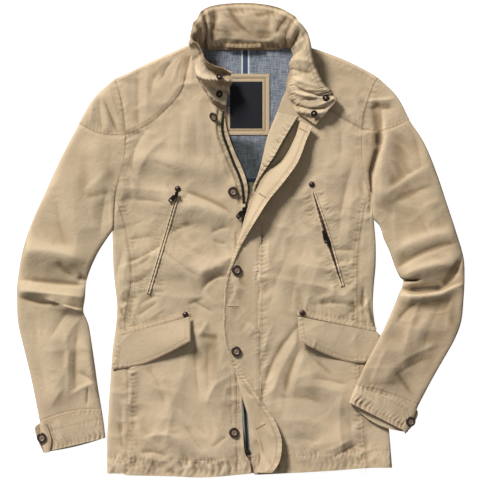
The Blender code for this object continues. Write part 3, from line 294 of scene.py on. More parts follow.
# Creases and soft folds of the upper cloth, placed on a grid of 1.8 mm squares over the laid jacket, counted right and
# down from its upper left corner; height is in millimetres.
# A bend or a lean above 0 is towards the right-hand side of the way from the first end.
BODY_CREASES = from_grid((
    # u0, v0, u1, v1, bend, width, height, lean
    (250, 424, 264, 456, 0, 4, -1.8, 0), (262, 424, 275, 438, 0, 3, 1.2, 0), (259, 450, 270, 470, 0, 3, 1.4, 0),
    (243, 384, 257, 402, 0, 2.6, -1.3, 0), (250, 396, 262, 404, 0, 2.6, 1.2, 0),
    (246, 404, 259, 445, 0, 2.2, 1.9, 0.2), (126, 86, 126, 124, 0, 5, 1.4, 0.2), (138, 72, 138, 129, 1, 5, -1.8, 0.2),
    (148, 70, 147, 112, 1, 4, 1.6, 0), (156, 74, 150, 94, 1, 4, -1.6, 0), (172, 62, 162, 78, 1, 2.6, -2, 0.2),
    (180, 61, 173, 84, 1, 3, 1.6, 0), (188, 58, 184, 82, 0, 2.2, -2, 0), (191, 62, 192, 82, 0, 2.5, 1.3, 0),
    (194, 64, 200, 80, 0, 2.2, -1.7, 0), (205, 74, 213, 96, 1, 3, 1.2, 0), (127, 138, 142, 132, 0, 2.6, -1.3, -0.2),
    (167, 137, 136, 182, 6, 6, 2.1, 0.3), (148, 129, 131, 166, 4, 3.5, -1.7, 0), (166, 122, 167, 147, 0, 3, -0.5, 0),
    (181, 122, 179, 154, 0, 3.2, -0.8, 0), (188, 110, 187, 160, 1, 5, 0.5, 0.2),
    (196, 116, 196, 152, 1, 3.6, -0.7, 0), (203, 118, 203, 160, 0, 4, 0.7, 0), (211, 126, 211, 162, 0, 4, -0.8, 0),
    (216, 134, 226, 174, 1, 1.6, 0.6, 0.2), (154, 162, 173, 169, 0, 2.6, -1.2, 0),
    (118, 187, 166, 191, 0, 6, 1.9, 0.2), (122, 200, 164, 203, -2, 3.4, -1.9, 0),
    (181, 203, 188, 193, -1, 2.2, -1.9, 0), (187, 192, 230, 212, -2, 2.6, -2.4, -0.2),
    (184, 204, 227, 217, -3, 5, 1.4, 0), (172, 232, 191, 224, -1, 2.4, -1.4, 0), (186, 236, 198, 250, 1, 3, 1.4, 0.2),
    (164, 250, 201, 277, 2, 3, -1.6, 0), (176, 246, 214, 262, 2, 5, 1, 0.2), (212, 232, 228, 227, -1, 2.8, -1.9, 0),
    (214, 240, 226, 243, 1, 2, -1.3, 0), (203, 288, 226, 275, -3, 2.8, -2.7, -0.3),
    (203, 272, 225, 266, -2, 5, 1.7, 0.2), (189, 304, 204, 298, 0, 2, -1.6, 0), (196, 302, 212, 311, 0, 2, -1.6, 0),
    (206, 296, 216, 306, 0, 2.6, 1.3, 0), (119, 229, 142, 221, 0, 2, -1.2, 0), (128, 239, 152, 236, 0, 2, -1, 0),
    (126, 263, 159, 246, 1, 2.4, -1.9, -0.2), (136, 266, 150, 256, 1, 1.8, -1.3, 0),
    (128, 284, 147, 276, 1, 2, -1.2, 0), (143, 270, 160, 262, 1, 2.4, 1, 0), (121, 254, 113, 302, 1, 4, -2, 0.2),
    (128, 250, 122, 300, 1, 4, 1.4, 0), (154, 293, 200, 297, 2, 5, 1.2, 0.2), (140, 304, 153, 296, 0, 1.6, -1.3, 0),
    (140, 314, 158, 301, 0, 1.8, -1.3, 0), (148, 318, 166, 308, 0, 2, 1, 0), (199, 336, 207, 322, 0, 3, 1.9, 0),
    (202, 336, 218, 338, 0, 3.4, -1.9, 0), (194, 322, 198, 395, 1, 4.5, -1.5, 0.3),
    (187, 356, 150, 440, -5, 9, 2.3, -0.2), (208, 342, 208, 392, 1, 6, -1.7, 0.2),
    (218, 382, 207, 404, 2, 4, 2.2, 0.2), (146, 366, 164, 404, -3, 6, -1.8, 0), (134, 372, 128, 440, 1, 4, 1.4, 0),
    (180, 412, 207, 441, 1, 5, 1.7, 0.3), (186, 426, 204, 452, 1, 5, -1.2, 0), (172, 414, 166, 446, 1, 3.6, 1.4, 0),
    (147, 437, 176, 437, -3, 3.6, 2.4, 0.3), (141, 452, 166, 455, -2, 3, -2, 0), (214, 446, 226, 436, 0, 2, -1.4, 0),
    (120, 420, 124, 452, 1, 3, -1.2, 0), (352, 163, 338, 232, 2, 5, -1.9, 0.2), (355, 176, 347, 242, 1, 4.5, 1.5, 0),
    (330, 150, 326, 190, 1, 7, 1.2, 0), (341, 128, 340, 158, 0, 4, -1.3, 0), (299, 196, 262, 290, 5, 9, 2, 0.2),
    (284, 262, 270, 305, 2, 4, -1.2, 0), (304, 246, 291, 304, 2, 8, -1.8, 0), (322, 258, 306, 306, 2, 8, 1.4, 0.2),
    (318, 304, 350, 305, -2, 2.8, -1.9, -0.2), (322, 297, 350, 297, -2, 3.6, 1.6, 0),
    (330, 249, 356, 250, 0, 1.8, -1.3, 0), (334, 268, 354, 262, 0, 2.6, 1.2, 0),
    (363, 288, 363, 307, 0, 1.6, -2.3, 0), (370, 298, 374, 326, 0, 2, -1.9, 0), (366, 300, 371, 322, 0, 1.8, 1.4, 0),
    (296, 328, 262, 396, 6, 3.6, -3, -0.3), (301, 336, 270, 402, 4, 5, 2, 0.2), (299, 350, 285, 392, 2, 3.6, -2.4, 0),
    (306, 352, 292, 398, 2, 5, 1.4, 0.2), (272, 326, 264, 352, 1, 3, 1.4, 0), (276, 398, 322, 402, -3, 5, -1.5, 0),
    (300, 386, 345, 392, -2, 5, 1.3, 0), (341, 398, 344, 456, 3, 5, 1.9, 0.4), (349, 412, 352, 448, 0, 5, -1.1, 0),
    (280, 420, 330, 428, -3, 8, 1.4, 0.2), (284, 438, 332, 446, -3, 5, -1, 0), (302, 346, 332, 374, 1, 4, -1.6, 0),
    (314, 378, 346, 384, -1, 3, -1.4, 0), (334, 456, 356, 445, 0, 2, -1.7, 0), (330, 450, 350, 440, 0, 2.4, 1.3, 0),
    (252, 316, 238, 332, 0, 3, -1.7, 0), (247, 338, 257, 324, 0, 3, 1.6, 0), (243, 346, 258, 338, 0, 2.4, -1.7, 0),
    (244, 362, 257, 372, 0, 2.4, -1.6, 0), (247, 356, 259, 351, 0, 2.2, 1.3, 0), (232, 290, 256, 286, 0, 3, 1.3, 0),
    (236, 300, 250, 318, 0, 3, 1.3, 0), (378, 110, 378, 148, -1, 4.4, -3.3, 0.5),
))
SLEEVE_CREASES = {
    "right": from_grid((
        (105, 102, 116, 129, 0, 2.4, -3, 0.3), (110, 94, 120, 126, 0, 3, 2, 0), (99, 98, 101, 130, 0, 4, -2, 0),
        (92, 96, 91, 124, 0, 4, 1.6, 0), (86, 190, 104, 173, 1, 4, 1.3, 0.2), (89, 196, 110, 193, 0, 4, -1.6, 0),
        (105, 198, 101, 232, 1, 4, -2.1, 0), (111, 203, 112, 230, 0, 2.6, 2.1, 0),
        (80, 160, 74, 236, 3, 10, 1.6, 0.2), (56, 196, 66, 246, 2, 6, -1.2, 0), (30, 250, 76, 257, -3, 8, 3, 0.3),
        (26, 279, 84, 285, 0, 5, -4, -0.4), (58, 262, 74, 277, 1, 4, -2.1, 0), (22, 291, 83, 297, -1, 3.6, 3.8, 0.1),
        (47, 303, 85, 309, -1, 2.6, -3.8, -0.4), (50, 300, 84, 312, 0, 1.1, 2, 0),
        (20, 297, 63, 307, 1, 3.4, -3.1, -0.2), (79, 278, 89, 281, 0, 3, -3.3, 0),
        (68, 312, 50, 338, 1, 4.4, -2.1, 0), (80, 318, 62, 346, 1, 5, 1.7, 0.2), (66, 334, 68, 394, -1, 5, 2.7, -0.2),
        (77, 334, 75, 386, 1, 4.4, -3, -0.2), (88, 340, 92, 376, 0, 5, 1.4, 0), (80, 372, 100, 386, -1, 3.6, -2.6, 0),
        (73, 393, 93, 383, -1, 2.8, 2.1, 0.2), (88, 388, 87, 404, 0, 1.3, -2.1, 0), (94, 385, 101, 404, 0, 2.6, 2, 0),
        (38, 356, 48, 400, 1, 5, -1.2, 0), (52, 404, 62, 388, 0, 3, 1.3, 0), (50, 424, 57, 446, 0, 3, -1.3, 0),
        (58, 420, 63, 444, 0, 3, 1.1, 0),
    )),
    "left": from_grid((
        (368, 101, 393, 99, 0, 3.2, 2.6, 0.4), (371, 109, 391, 108, 0, 3.2, -2.5, 0),
        (379, 106, 381, 142, -1, 4.4, -3.8, 0.5), (383, 138, 370, 180, 1, 4, -4.6, 0.5),
        (371, 176, 370, 216, 0, 2.6, -3, 0.3), (386, 130, 380, 200, 2, 7, 1.9, -0.2),
        (387, 193, 425, 168, -1, 4, 2.6, 0.4), (394, 202, 428, 186, -1, 4, -1.8, 0),
        (424, 206, 440, 200, 0, 4, 1.5, 0), (412, 130, 420, 168, -1, 5, -1.2, 0), (394, 210, 396, 250, 1, 5, 1.3, 0),
        (399, 266, 452, 243, -3, 5, -3.3, -0.5), (396, 250, 450, 232, -3, 6, 1.7, 0),
        (403, 281.5, 419, 279.5, 0, 1.5, -4.5, 0), (403, 275, 440, 264, -2, 5, 2.3, 0.1),
        (399, 286, 447, 287, 6, 3.8, -4.6, -0.3), (441, 289, 462, 256, 4, 4.4, -3.9, -0.4),
        (396, 295, 463, 284, 4, 3.2, 3.8, 0.2), (398, 320, 414, 304, -1, 3, -2.1, 0),
        (420, 300, 404, 350, 2, 6, 1.9, 0.3), (440, 304, 424, 346, 2, 7, -1.7, 0), (452, 300, 446, 330, 1, 5, 1.3, 0),
        (436, 344, 398, 363, 1, 5, 2, 0.3), (428, 358, 396, 374, 1, 5, -1.6, 0), (384, 352, 372, 382, 1, 4, 1.6, 0),
        (396, 372, 410, 392, 0, 3, -1.6, 0), (364, 388, 392, 396, 0, 2.4, -1.5, 0),
        (358, 392, 376, 404, 0, 2.6, 1.3, 0),
    )),
}
# Painted shade where cloth lies in deep folds: u0, v0, u1, v1, width, and how much darker.
PAINTED_FOLD_SHADE = from_grid((
    (373, 104, 391, 104, 2.4, -0.6), (375, 112, 376, 146, 3.4, -0.9), (376, 148, 370, 172, 2.6, -1.5),
    (369.5, 168, 371.5, 196, 1.3, -1.5), (404, 280, 418, 280, 1, -1.8), (408, 288, 442, 287, 3.6, -1.1),
    (442, 286, 459, 258, 2.6, -0.8), (444, 300, 454, 326, 8, -0.3), (440, 330, 426, 372, 6, -0.3),
    (399, 264, 404, 254, 4, -0.35), (398, 190, 426, 176, 6, -0.2), (420, 300, 410, 330, 5, -0.2),
    (361, 298, 363, 318, 1.2, -0.6), (367, 306, 375, 328, 2.2, -1.2), (119, 305, 125, 318, 1.4, -0.7),
    (122, 298, 129, 303, 1.2, -0.6), (26, 279, 84, 284, 2.2, -0.5), (206, 318, 213, 392, 9, -0.4),
    (196, 344, 203, 372, 5, -0.35), (213, 330, 217, 374, 5, -0.3), (185, 380, 178, 410, 5, -0.2),
    (278, 362, 292, 392, 6, -0.25), (97, 188, 111, 171, 5, -0.45), (93, 190, 107, 190, 3, -0.35),
    (48, 266, 72, 262, 7, -0.4), (62, 272, 76, 264, 3, -0.5), (78, 272, 88, 280, 2.4, -0.7),
    (187, 193, 226, 212, 2.4, -0.3), (203, 288, 226, 275, 2.2, -0.3),
))
PAINTED_FOLD_SHADE[:, 5] /= SQUARE  # a strength, not a length


# ---------------------------------------------------------------- curves and heights
def run_of(line):
    """Length along a line up to each of its points."""
    return np.concatenate(([0], np.cumsum(np.linalg.norm(np.diff(line, axis=0), axis=1))))


def read_at(at, run, line):
    """A line's points at lengths along its run."""
    return np.column_stack([np.interp(at, run, line[:, k]) for k in range(line.shape[1])])


def even(line, count):
    """A polyline read at equal steps of its length, corners kept as they fall."""
    run = run_of(line)
    return read_at(np.linspace(0, run[-1], count), run, line)


def unit(ways):
    """Vectors scaled to length 1 along their last axis."""
    return ways / np.linalg.norm(ways, axis=-1, keepdims=True)


def catmull_rom(a, b, c, d, t):
    """Points at shares t of the curve from b to c that four points give."""
    return 0.5 * (2 * b + (c - a) * t + (2 * a - 5 * b + 4 * c - d) * t ** 2
                  + (3 * b - a - 3 * c + d) * t ** 3)


def with_ends(points):
    """Points with one more at each end, in line with the last two."""
    return np.vstack((2 * points[0] - points[1], points, 2 * points[-1] - points[-2]))


def spline(points, count):
    """Catmull-Rom curve through the points, read at equal steps of its length."""
    p = np.asarray(points, float)
    if len(p) == 2:
        return p[0] + (p[1] - p[0]) * np.linspace(0, 1, count)[:, None]
    ends = with_ends(p)
    t = np.linspace(0, 1, 24, endpoint=False)[:, None]
    dense = [catmull_rom(*four, t) for four in zip(ends[:-3], ends[1:-2], ends[2:-1], ends[3:])]
    return even(np.vstack(dense + [p[-1:]]), count)


def resample(rows, count):
    """Table rows read along a smooth curve at count stations."""
    table = np.asarray(rows, float)
    t = np.linspace(0, len(table) - 1, count)
    ends = with_ends(table)
    i = np.minimum(t.astype(int), len(table) - 2)
    return catmull_rom(ends[i], ends[i + 1], ends[i + 2], ends[i + 3], (t - i)[:, None])


def join(*lines):
    """Lines joined end to end, without the points that repeat."""
    whole = np.vstack(lines)
    keep_point = np.concatenate(([True], np.linalg.norm(np.diff(whole, axis=0), axis=1) > SAME_POINT))
    return whole[keep_point]


def shifted(line, distance):
    """An open line moved sideways to its left by distance."""
    way = unit(np.gradient(np.asarray(line, float), axis=0))
    return line + distance * np.column_stack((-way[:, 1], way[:, 0]))


def smooth(t):
    """0 below 0, 1 above 1, and a smooth step between."""
    t = np.clip(t, 0, 1)
    return t * t * (3 - 2 * t)


def level(column, y):
    """A column of BODY_LEVELS at heights y."""
    curve = spline([(row[0], row[column]) for row in BODY_LEVELS], 200)[::-1]
    return np.interp(y, curve[:, 0], curve[:, 1])


def hem_at(x):
    """Height of the hem's edge at x."""
    line = spline(HEM, 80)
    return np.interp(x, line[:, 0], line[:, 1])


def noise(x, y, size, seed):
    """Value noise from -1 to 1: random heights on a square lattice, joined by smooth steps."""
    count = int(2 * NOISE_REACH / size) + 4
    lattice = np.random.default_rng(seed).random((count, count)) * 2 - 1
    gx, gy = ((np.asarray(k, float) + NOISE_REACH) / size for k in (x, y))
    i = np.clip(gx.astype(int), 0, count - 2)
    j = np.clip(gy.astype(int), 0, count - 2)
    fx, fy = smooth(gx - i), smooth(gy - j)
    near = lattice[i, j] * (1 - fx) + lattice[i + 1, j] * fx
    far = lattice[i, j + 1] * (1 - fx) + lattice[i + 1, j + 1] * fx
    return near * (1 - fy) + far * fy


def crumple(x, y, size, seed):
    """Crinkles with crisp crests: noise folded at zero, read at warped places."""
    cos, sin = math.cos(seed * 1.7), math.sin(seed * 1.7)
    x, y = 0.72 * (x * cos - y * sin), 0.72 * (x * sin + y * cos)
    wx = x + 0.5 * size * noise(x, y, size * 1.3, seed + 1)
    wy = y + 0.5 * size * noise(x, y, size * 1.3, seed + 2)
    return 0.33 - np.abs(noise(wx, wy, size, seed))


def over_line(x0, y0, x1, y1, x, y):
    """A line's length, and the share along it and the distance across it of places x, y."""
    way = np.array((x1 - x0, y1 - y0), float)
    length = np.hypot(*way)
    way /= length
    run = ((x - x0) * way[0] + (y - y0) * way[1]) / length
    return length, run, (x - x0) * way[1] - (y - y0) * way[0]


def ridges(table, x, y):
    """Sum of soft ridges: height times a bell across the fold, fading at its two ends."""
    total = np.zeros(np.shape(x))
    for *line, width, height in table:
        length, run, across = over_line(*line, x, y)
        past = np.maximum(0, np.abs(run - 0.5) - 0.35) * length
        total += height * np.exp(-(across / width) ** 2 - (past / (1.2 * width)) ** 2)
    return total


def creases(table, x, y):
    """Sum of crisp folds: a peaked bell across a bowed line, wider on one side by its lean."""
    total = np.zeros(np.shape(x))
    for *line, bend, width, height, lean in table:
        length, run, across = over_line(*line, x, y)
        across = across - 4 * bend * run * (1 - run)
        side = width * np.where(across > 0, 1 + lean, 1 - lean)
        past = np.maximum(0, np.abs(run - 0.5) - 0.28) * length
        total += height * np.exp(-np.abs(across / side) ** 1.35 - (past / (0.26 * length)) ** 2)
    return total


def placed_creases(table, x, y):
    """A table's creases at the depth that the settings ask for."""
    return bpy.context.scene.jacket_sizes.folds * creases(table, x, y)


def rolled(distance, reach=EDGE_ROUND):
    """0 at an outline, 1 from reach inwards, upright at the outline like a quarter ellipse."""
    t = np.clip(np.asarray(distance, float) / reach, 0, 1)
    return np.sqrt(np.clip(1 - (1 - t) ** 2.4, 0, 1))


def along(line, x, y):
    """Run along a line and signed distance to it (left of its way is positive) for points."""
    best = np.full(np.shape(x), 1e9)
    run = np.zeros(np.shape(x))
    side = np.ones(np.shape(x))
    start = 0.0
    for (x0, y0), (x1, y1) in zip(line, line[1:]):
        dx, dy = x1 - x0, y1 - y0
        length = math.hypot(dx, dy)
        t = np.clip(((x - x0) * dx + (y - y0) * dy) / length ** 2, 0, 1)
        ex, ey = x - x0 - t * dx, y - y0 - t * dy
        near = ex * ex + ey * ey
        closer = near < best
        best = np.where(closer, near, best)
        run = np.where(closer, start + t * length, run)
        side = np.where(closer, np.sign(dx * ey - dy * ex) + (dx * ey == dy * ex), side)
        start += length
    return run, np.sqrt(best) * side


def puckers(run, off, pitch, seed):
    """Uneven ripples beside a seam: a wavering wave mixed with noise drawn out across the seam."""
    off = off + 0 * run
    wander = noise(run, 0 * run + 31 * seed, 30, 50 + seed)
    puffs = 2 * np.abs(np.sin(math.pi * (run + 0.35 * np.abs(off) + 3.5 * wander) / pitch)) - 1.27
    return 0.8 * puffs + 0.9 * noise(run + 0.3 * np.abs(off), 0.3 * off + 7 * seed, 0.55 * pitch, 140 + seed)


def round_line(line, margin, x, y):
    """Which places x, y lie in the box round a line, grown by a margin."""
    low, high = line.min(axis=0) - margin, line.max(axis=0) + margin
    return (x > low[0]) & (x < high[0]) & (y > low[1]) & (y < high[1])


def sewn(seams, x, y):
    """Height that sewing gives, and a mask of painted shade along each seam's groove: ripples square to each seam that
    fade away from it, a groove along it, and a step where one piece laps the other."""
    height = np.zeros(np.shape(x))
    mask = np.zeros(np.shape(x))
    for number, (line, reach, pitch, ripple, lap, groove) in enumerate(seams):
        near = round_line(line, 3 * reach, x, y)
        if not near.any():
            continue
        run, off = along(line, x[near], y[near])
        wave = puckers(run, off, pitch, number)
        strength = 0.7 + 0.6 * noise(run, run * 0 + number * 17, 38, 90 + number)
        bell = np.exp(-(off / reach) ** 2)
        height[near] += ripple * wave * strength * bell
        height[near] -= groove * np.exp(-np.abs(off / 1.3))
        height[near] += 0.5 * lap * np.tanh(off / 0.7) * np.exp(-(off / (1.2 * reach)) ** 2)
        # Painted shade along the seam's groove, as deep as the groove.
        mask[near] = np.maximum(mask[near], min(1, groove * 1.6) * np.exp(-(off / 1.0) ** 2))
    return height, mask


def side_line(side, inward=0.0):
    """The seam between a front and its side panel, moved towards the front by inward."""
    y = np.linspace(120, -366, 60)
    return np.column_stack((level(SEAM_COLUMN[side], y) - SIGN[side] * inward, y))


def armhole_upper(side, shares):
    """The armhole from the shoulder's end down to the yoke seam."""
    top, corner, bow = ARMHOLE_UPPER[side]
    share = np.asarray(shares, float)[:, None]
    line = np.array(top) + (np.array(corner) - np.array(top)) * share
    return line + (-SIGN[side] * bow, 0) * np.sin(math.pi * share)


def cap_seam(side, shares):
    """The seam between sleeve and cap, from the outer edge to the armhole."""
    tip = np.array(SLEEVE[side][0][:2], float)
    corner = np.array(ARMHOLE_UPPER[side][1], float)
    share = np.asarray(shares, float)[:, None]
    return tip + (corner - tip) * share - (0, CAP_BOW) * np.sin(math.pi * share)


def towards_body(x0, y0, x1, y1):
    """Way square to a sleeve's section, up the sleeve."""
    way = np.array((y1 - y0, x0 - x1), float)
    return way * (np.sign(way[1]) / np.linalg.norm(way))


def cuff_seam(side, count=20):
    """The seam between a sleeve and its cuff, from the outer edge to the inner one."""
    x0, y0, x1, y1 = CUFF[side][0]
    share = np.linspace(0, 1, count)[:, None]
    way = towards_body(x0, y0, x1, y1)
    return (x0, y0) + np.array((x1 - x0, y1 - y0)) * share + CUFF_BOW[side] * np.sin(math.pi * share) * way


def hem_line(rise):
    """A line at a height over the hem's edge."""
    x = np.linspace(-236, 272, 90)
    return np.column_stack((x, hem_at(x) + rise))


def body_seams():
    """Sewn lines of the upper body: line, reach, pitch, ripple, lap and groove."""
    found = []
    for side in SIDES:
        sign = SIGN[side]
        yoke = spline(YOKE_SEAM[side], 40)
        arm = join(armhole_upper(side, np.linspace(0, 1, 20)), spline(ARMHOLE_LOWER[side], 24))
        shoulder = shifted(spline(SHOULDER[side], 30), -sign * 8.0)
        found += [(yoke, 10, 8.5, 0.28, -sign * 0.9, 0.55), (arm, 9, 10, 0.4, 0.0, 0.6),
                  (side_line(side), 6, 9, 0.25, sign * 0.5, 0.5), (side_line(side, 8), 8, 7.6, 0.65, 0, 0.12),
                  (shoulder, 7, 9, 0.3, 0, 0.35)]
        top, bottom = CHEST_ZIP[side]
        for aside in (-15, 15):
            found.append((shifted(spline((top, bottom), 24), aside), 7, 7, 0.6, 0, 0.0))
        welt = spline(POCKET_WELT[side], 20)
        found.append((shifted(welt, 9), 7, 8, 0.5, 0, 0.3))
    found += [(hem_line(30), 9, 7.2, 0.7, -0.5, 0.45), (hem_line(13), 12, 11, 0.8, 0, 0.0),
              (shifted(spline(OPENING["right"], 40), -2), 5, 6.5, 1.2, 0, 0.0),
              (shifted(spline(ZIP_CHAIN["right"], 40), -10), 6, 9, 0.5, -2.2, 0.5),
              (spline((*ZIP_BAND["edge"], (-6, -366)), 60), 5, 6.5, 0.4, -0.6, 0.9),
              (spline(((-2.5, -196), (-2, -260), (0, -330)), 30), 3.5, 5.4, 0.6, 0, 0.3),
              (spline(ZIP_BAND["side"], 30), 3, 7, 0.2, 0, 0.4),
              (spline(((40, 60), (40, -80), (41, -240), (44, -300), (50, -340)), 40), 9, 7.4, 0.6, 0, 0.35)]
    return found


def sleeve_seams(side):
    """Sewn lines of a sleeve and its cap, as body_seams() gives them."""
    arm = join(armhole_upper(side, np.linspace(0, 1, 20)), spline(ARMHOLE_LOWER[side], 24))
    cap = cap_seam(side, np.linspace(0, 1, 24))
    cuff = cuff_seam(side)
    sign = SIGN[side]
    return [(arm, 9, 10, 0.4, 0.0, 0.6), (cap, 13, 7.5, 0.6, sign * 0.9, 0.7),
            (cuff, 10, 8, 0.5, 0.0, 0.5)]


SEAMS = {"body": body_seams(), "right": sleeve_seams("right"), "left": sleeve_seams("left")}


def near_seams(x, y):
    """1 on the sewn lines of the body, fading over a few fingers' breadth."""
    found = np.zeros(np.shape(x))
    for line, *_ in SEAMS["body"]:
        near = round_line(line, 50, x, y)
        if near.any():
            off = along(line, x[near], y[near])[1]
            found[near] = np.maximum(found[near], np.exp(-(off / 24) ** 2))
    return found


def gathers(x, y):
    """Bunched cloth where the waist's elastic ends beside each side seam."""
    total = np.zeros(np.shape(x))
    for cx, cy, wx, wy in ((-205, -72, 26, 34), (216, -66, 22, 34), (-90, -352, 150, 14)):
        bell = np.exp(-((x - cx) / wx) ** 2 - ((y - cy) / wy) ** 2)
        total += (3.4 * crumple(1.3 * x, 0.8 * y, 16, 8) + 1.6 * crumple(x, y, 9, 9)) * bell
    return total


def fabric_relief(x, y, seed=3):
    """Fine crinkles that washed cotton keeps all over."""
    sizes = bpy.context.scene.jacket_sizes
    busy = 0.95 + 0.45 * noise(x, y, 110, seed + 40)
    return sizes.crinkle * busy * (2.2 * crumple(x, y, 90, seed) + 2.5 * crumple(x, y, 40, seed + 10)
                                   + 1.1 * crumple(x, y, 18, seed + 20) + 1.0 * noise(x, y, 70, seed + 30))


def plain_body(x, y):
    """The laid body's upper cloth with its large folds alone."""
    fade = np.clip((np.asarray(y, float) + 376) / 40, 0, 1)
    return LAID + ridges(BODY_FOLDS, x, y) * (0.25 + 0.75 * fade)


def body_height(x, y, seam_shade=False):
    """The laid body's upper cloth with its folds, creases, crinkles and sewing."""
    upper = smooth((y - 40) / 50)
    sewing = near_seams(x, y)
    relief = placed_creases(BODY_CREASES, x, y) + gathers(x, y) + fabric_relief(x, y) * (0.85 + 0.4 * sewing)
    relief += (1.5 * crumple(x, y, 24, 7) + 0.7 * crumple(x, y, 12, 6)) * sewing
    for side in SIDES:
        relief += upper * (ridges(SLEEVE_FOLDS[side], x, y) + placed_creases(SLEEVE_CREASES[side], x, y))
    ripple, mask = sewn(SEAMS["body"], x, y)
    calm = 1.0
    for spot in (CHEST_SLIDER["right"], CHEST_SLIDER["left"], FRONT_SLIDER):
        calm = calm * (1 - np.exp(-((x - spot[0]) ** 2 + (y - spot[1] + 6) ** 2) / 18 ** 2))
    z = no_lower(plain_body(x, y) + (relief + ripple) * calm)
    return (z, mask) if seam_shade else z


def no_lower(z):
    """Heights eased to stay above the cloth that lies below: BACK_WALL + 1 mm at the deepest."""
    deepest, eased = BACK_WALL + 1.0, 1.6
    return np.where(z > deepest + eased, z, deepest + eased * np.exp(np.minimum(z - deepest - eased, 0) / eased))


def body_top(x, y, top=plain_body):
    """Top of the laid body, rolled down at its two sides below the underarm."""
    x = np.asarray(x, float)
    y = np.asarray(y, float)
    inside = np.minimum(x - level(1, y), level(4, y) - x)
    half = LAID / 2
    rolling = np.where(y < 100, rolled(inside), 1.0)
    return half + (top(x, y) - half) * rolling


def sleeve_ground(side, x, y):
    """What a sleeve lies on: the surface, or the body and its pocket flap under a forearm."""
    if side == "right":
        return np.zeros(np.shape(x))
    beyond = np.asarray(x, float) - level(4, y)
    on_body = body_top(x - np.maximum(beyond, 0), y)
    flap = 5.5 * np.clip((y + 205) / 30, 0, 1) * np.clip((-40 - y) / 40, 0, 1)
    carried = smooth((-55 - np.asarray(y, float)) / 55)
    slope = np.exp(-(np.maximum(beyond, 0) / 34) ** 2)
    return carried * slope * (np.maximum(on_body, LAID) + flap + 1.2)


def sleeve_height(side, x, y, seam_shade=False):
    """Height of a sleeve's upper cloth over what the sleeve lies on."""
    upper = smooth((y - 40) / 50)
    z = LAID + ridges(SLEEVE_FOLDS[side], x, y) + placed_creases(SLEEVE_CREASES[side], x, y)
    z += 0.6 * fabric_relief(x, y)
    z += upper * (ridges(BODY_FOLDS, x, y) + placed_creases(BODY_CREASES, x, y))
    ripple, mask = sewn(SEAMS[side], x, y)
    z = no_lower(z + ripple)
    return (z, mask) if seam_shade else z


# ---------------------------------------------------------------- meshes
MADE = {}                # finished pieces by name


def finish_mesh(name, points, quads, uvs, seam_shade, material, sharp=50.0, wear_and_painted_light=None):
    """A mesh object from arrays of points in millimetres, quads, corner UVs in metres, and for each point a mask of
    painted shade along the seams and a value of wear and painted light. Its faces are turned outwards by the sign of
    its volume."""
    points = np.asarray(points, float) * MM
    a, b, c, d = (points[quads[:, k]] for k in range(4))
    volume = np.sum(a * np.cross(b, c)) + np.sum(a * np.cross(c, d))
    if volume < 0:
        quads, uvs = quads[:, ::-1], uvs[:, ::-1]
    mesh = bpy.data.meshes.new(name)
    mesh.vertices.add(len(points))
    mesh.vertices.foreach_set("co", points.astype(np.float32).ravel())
    mesh.loops.add(quads.size)
    mesh.loops.foreach_set("vertex_index", quads.astype(np.int32).ravel())
    mesh.polygons.add(len(quads))
    mesh.polygons.foreach_set("loop_start", np.arange(0, quads.size, 4, dtype=np.int32))
    mesh.update(calc_edges=True)
    layer = mesh.uv_layers.new(name="cloth")
    layer.data.foreach_set("uv", uvs.astype(np.float32).ravel())
    # The fold attribute carries wear and painted light; the seam attribute carries painted shade along the seams.
    for label, values in (("seam", seam_shade), ("fold", wear_and_painted_light)):
        if values is not None:
            layer = mesh.attributes.new(label, "FLOAT", "POINT")
            layer.data.foreach_set("value", np.asarray(values, np.float32).ravel())
    mesh.validate()
    mesh.shade_smooth()
    mesh.set_sharp_from_angle(angle=math.radians(sharp))
    mesh.materials.append(material)
    item = bpy.data.objects.new(name, mesh)
    bpy.context.scene.collection.objects.link(item)
    MADE[name] = item
    return item


def blurred(values, reach, wrapped):
    """A grid's values averaged over a bell that reaches some cells along each axis."""
    for axis in (0, 1):
        size = max(1, int(round(2 * reach[axis])))
        kernel = np.exp(-(np.arange(-size, size + 1) / max(reach[axis], 0.4)) ** 2)
        pad = [(0, 0), (0, 0)]
        pad[axis] = (size, size)
        padded = np.pad(values, pad, mode="wrap" if wrapped and axis else "edge")
        count = values.shape[axis]
        values = sum(k * (padded[:, i:i + count] if axis else padded[i:i + count])
                     for i, k in enumerate(kernel / kernel.sum()))
    return values


def wear_and_painted_light_of(grid, wrapped):
    """Wear and painted light, -1 in folds to 1 on crests: height over the mean round it, and low where cloth is steep.
    The material paints shade in the folds and on steep cloth, and a worn tint with painted highlight on the crests.
    """
    step = [np.linalg.norm(np.diff(grid, axis=k), axis=2).mean() for k in (0, 1)]
    z = grid[..., 2]
    found = sum(part * np.tanh((z - blurred(z, [reach / s for s in step], wrapped)) / depth)
                for reach, depth, part in ((10.0, 1.6, 0.6), (4.0, 0.5, 0.5)))
    flat = smooth((np.abs(surface_normals(grid)[..., 2]) - 0.5) / 0.3)
    return np.where(found > 0, 0.6 * found, found) * flat - 0.35 * (1 - flat)


def cells(grid):
    """Corners of each cell of a grid, in order round it."""
    return np.stack((grid[:-1, :-1], grid[:-1, 1:], grid[1:, 1:], grid[1:, :-1]), axis=2)


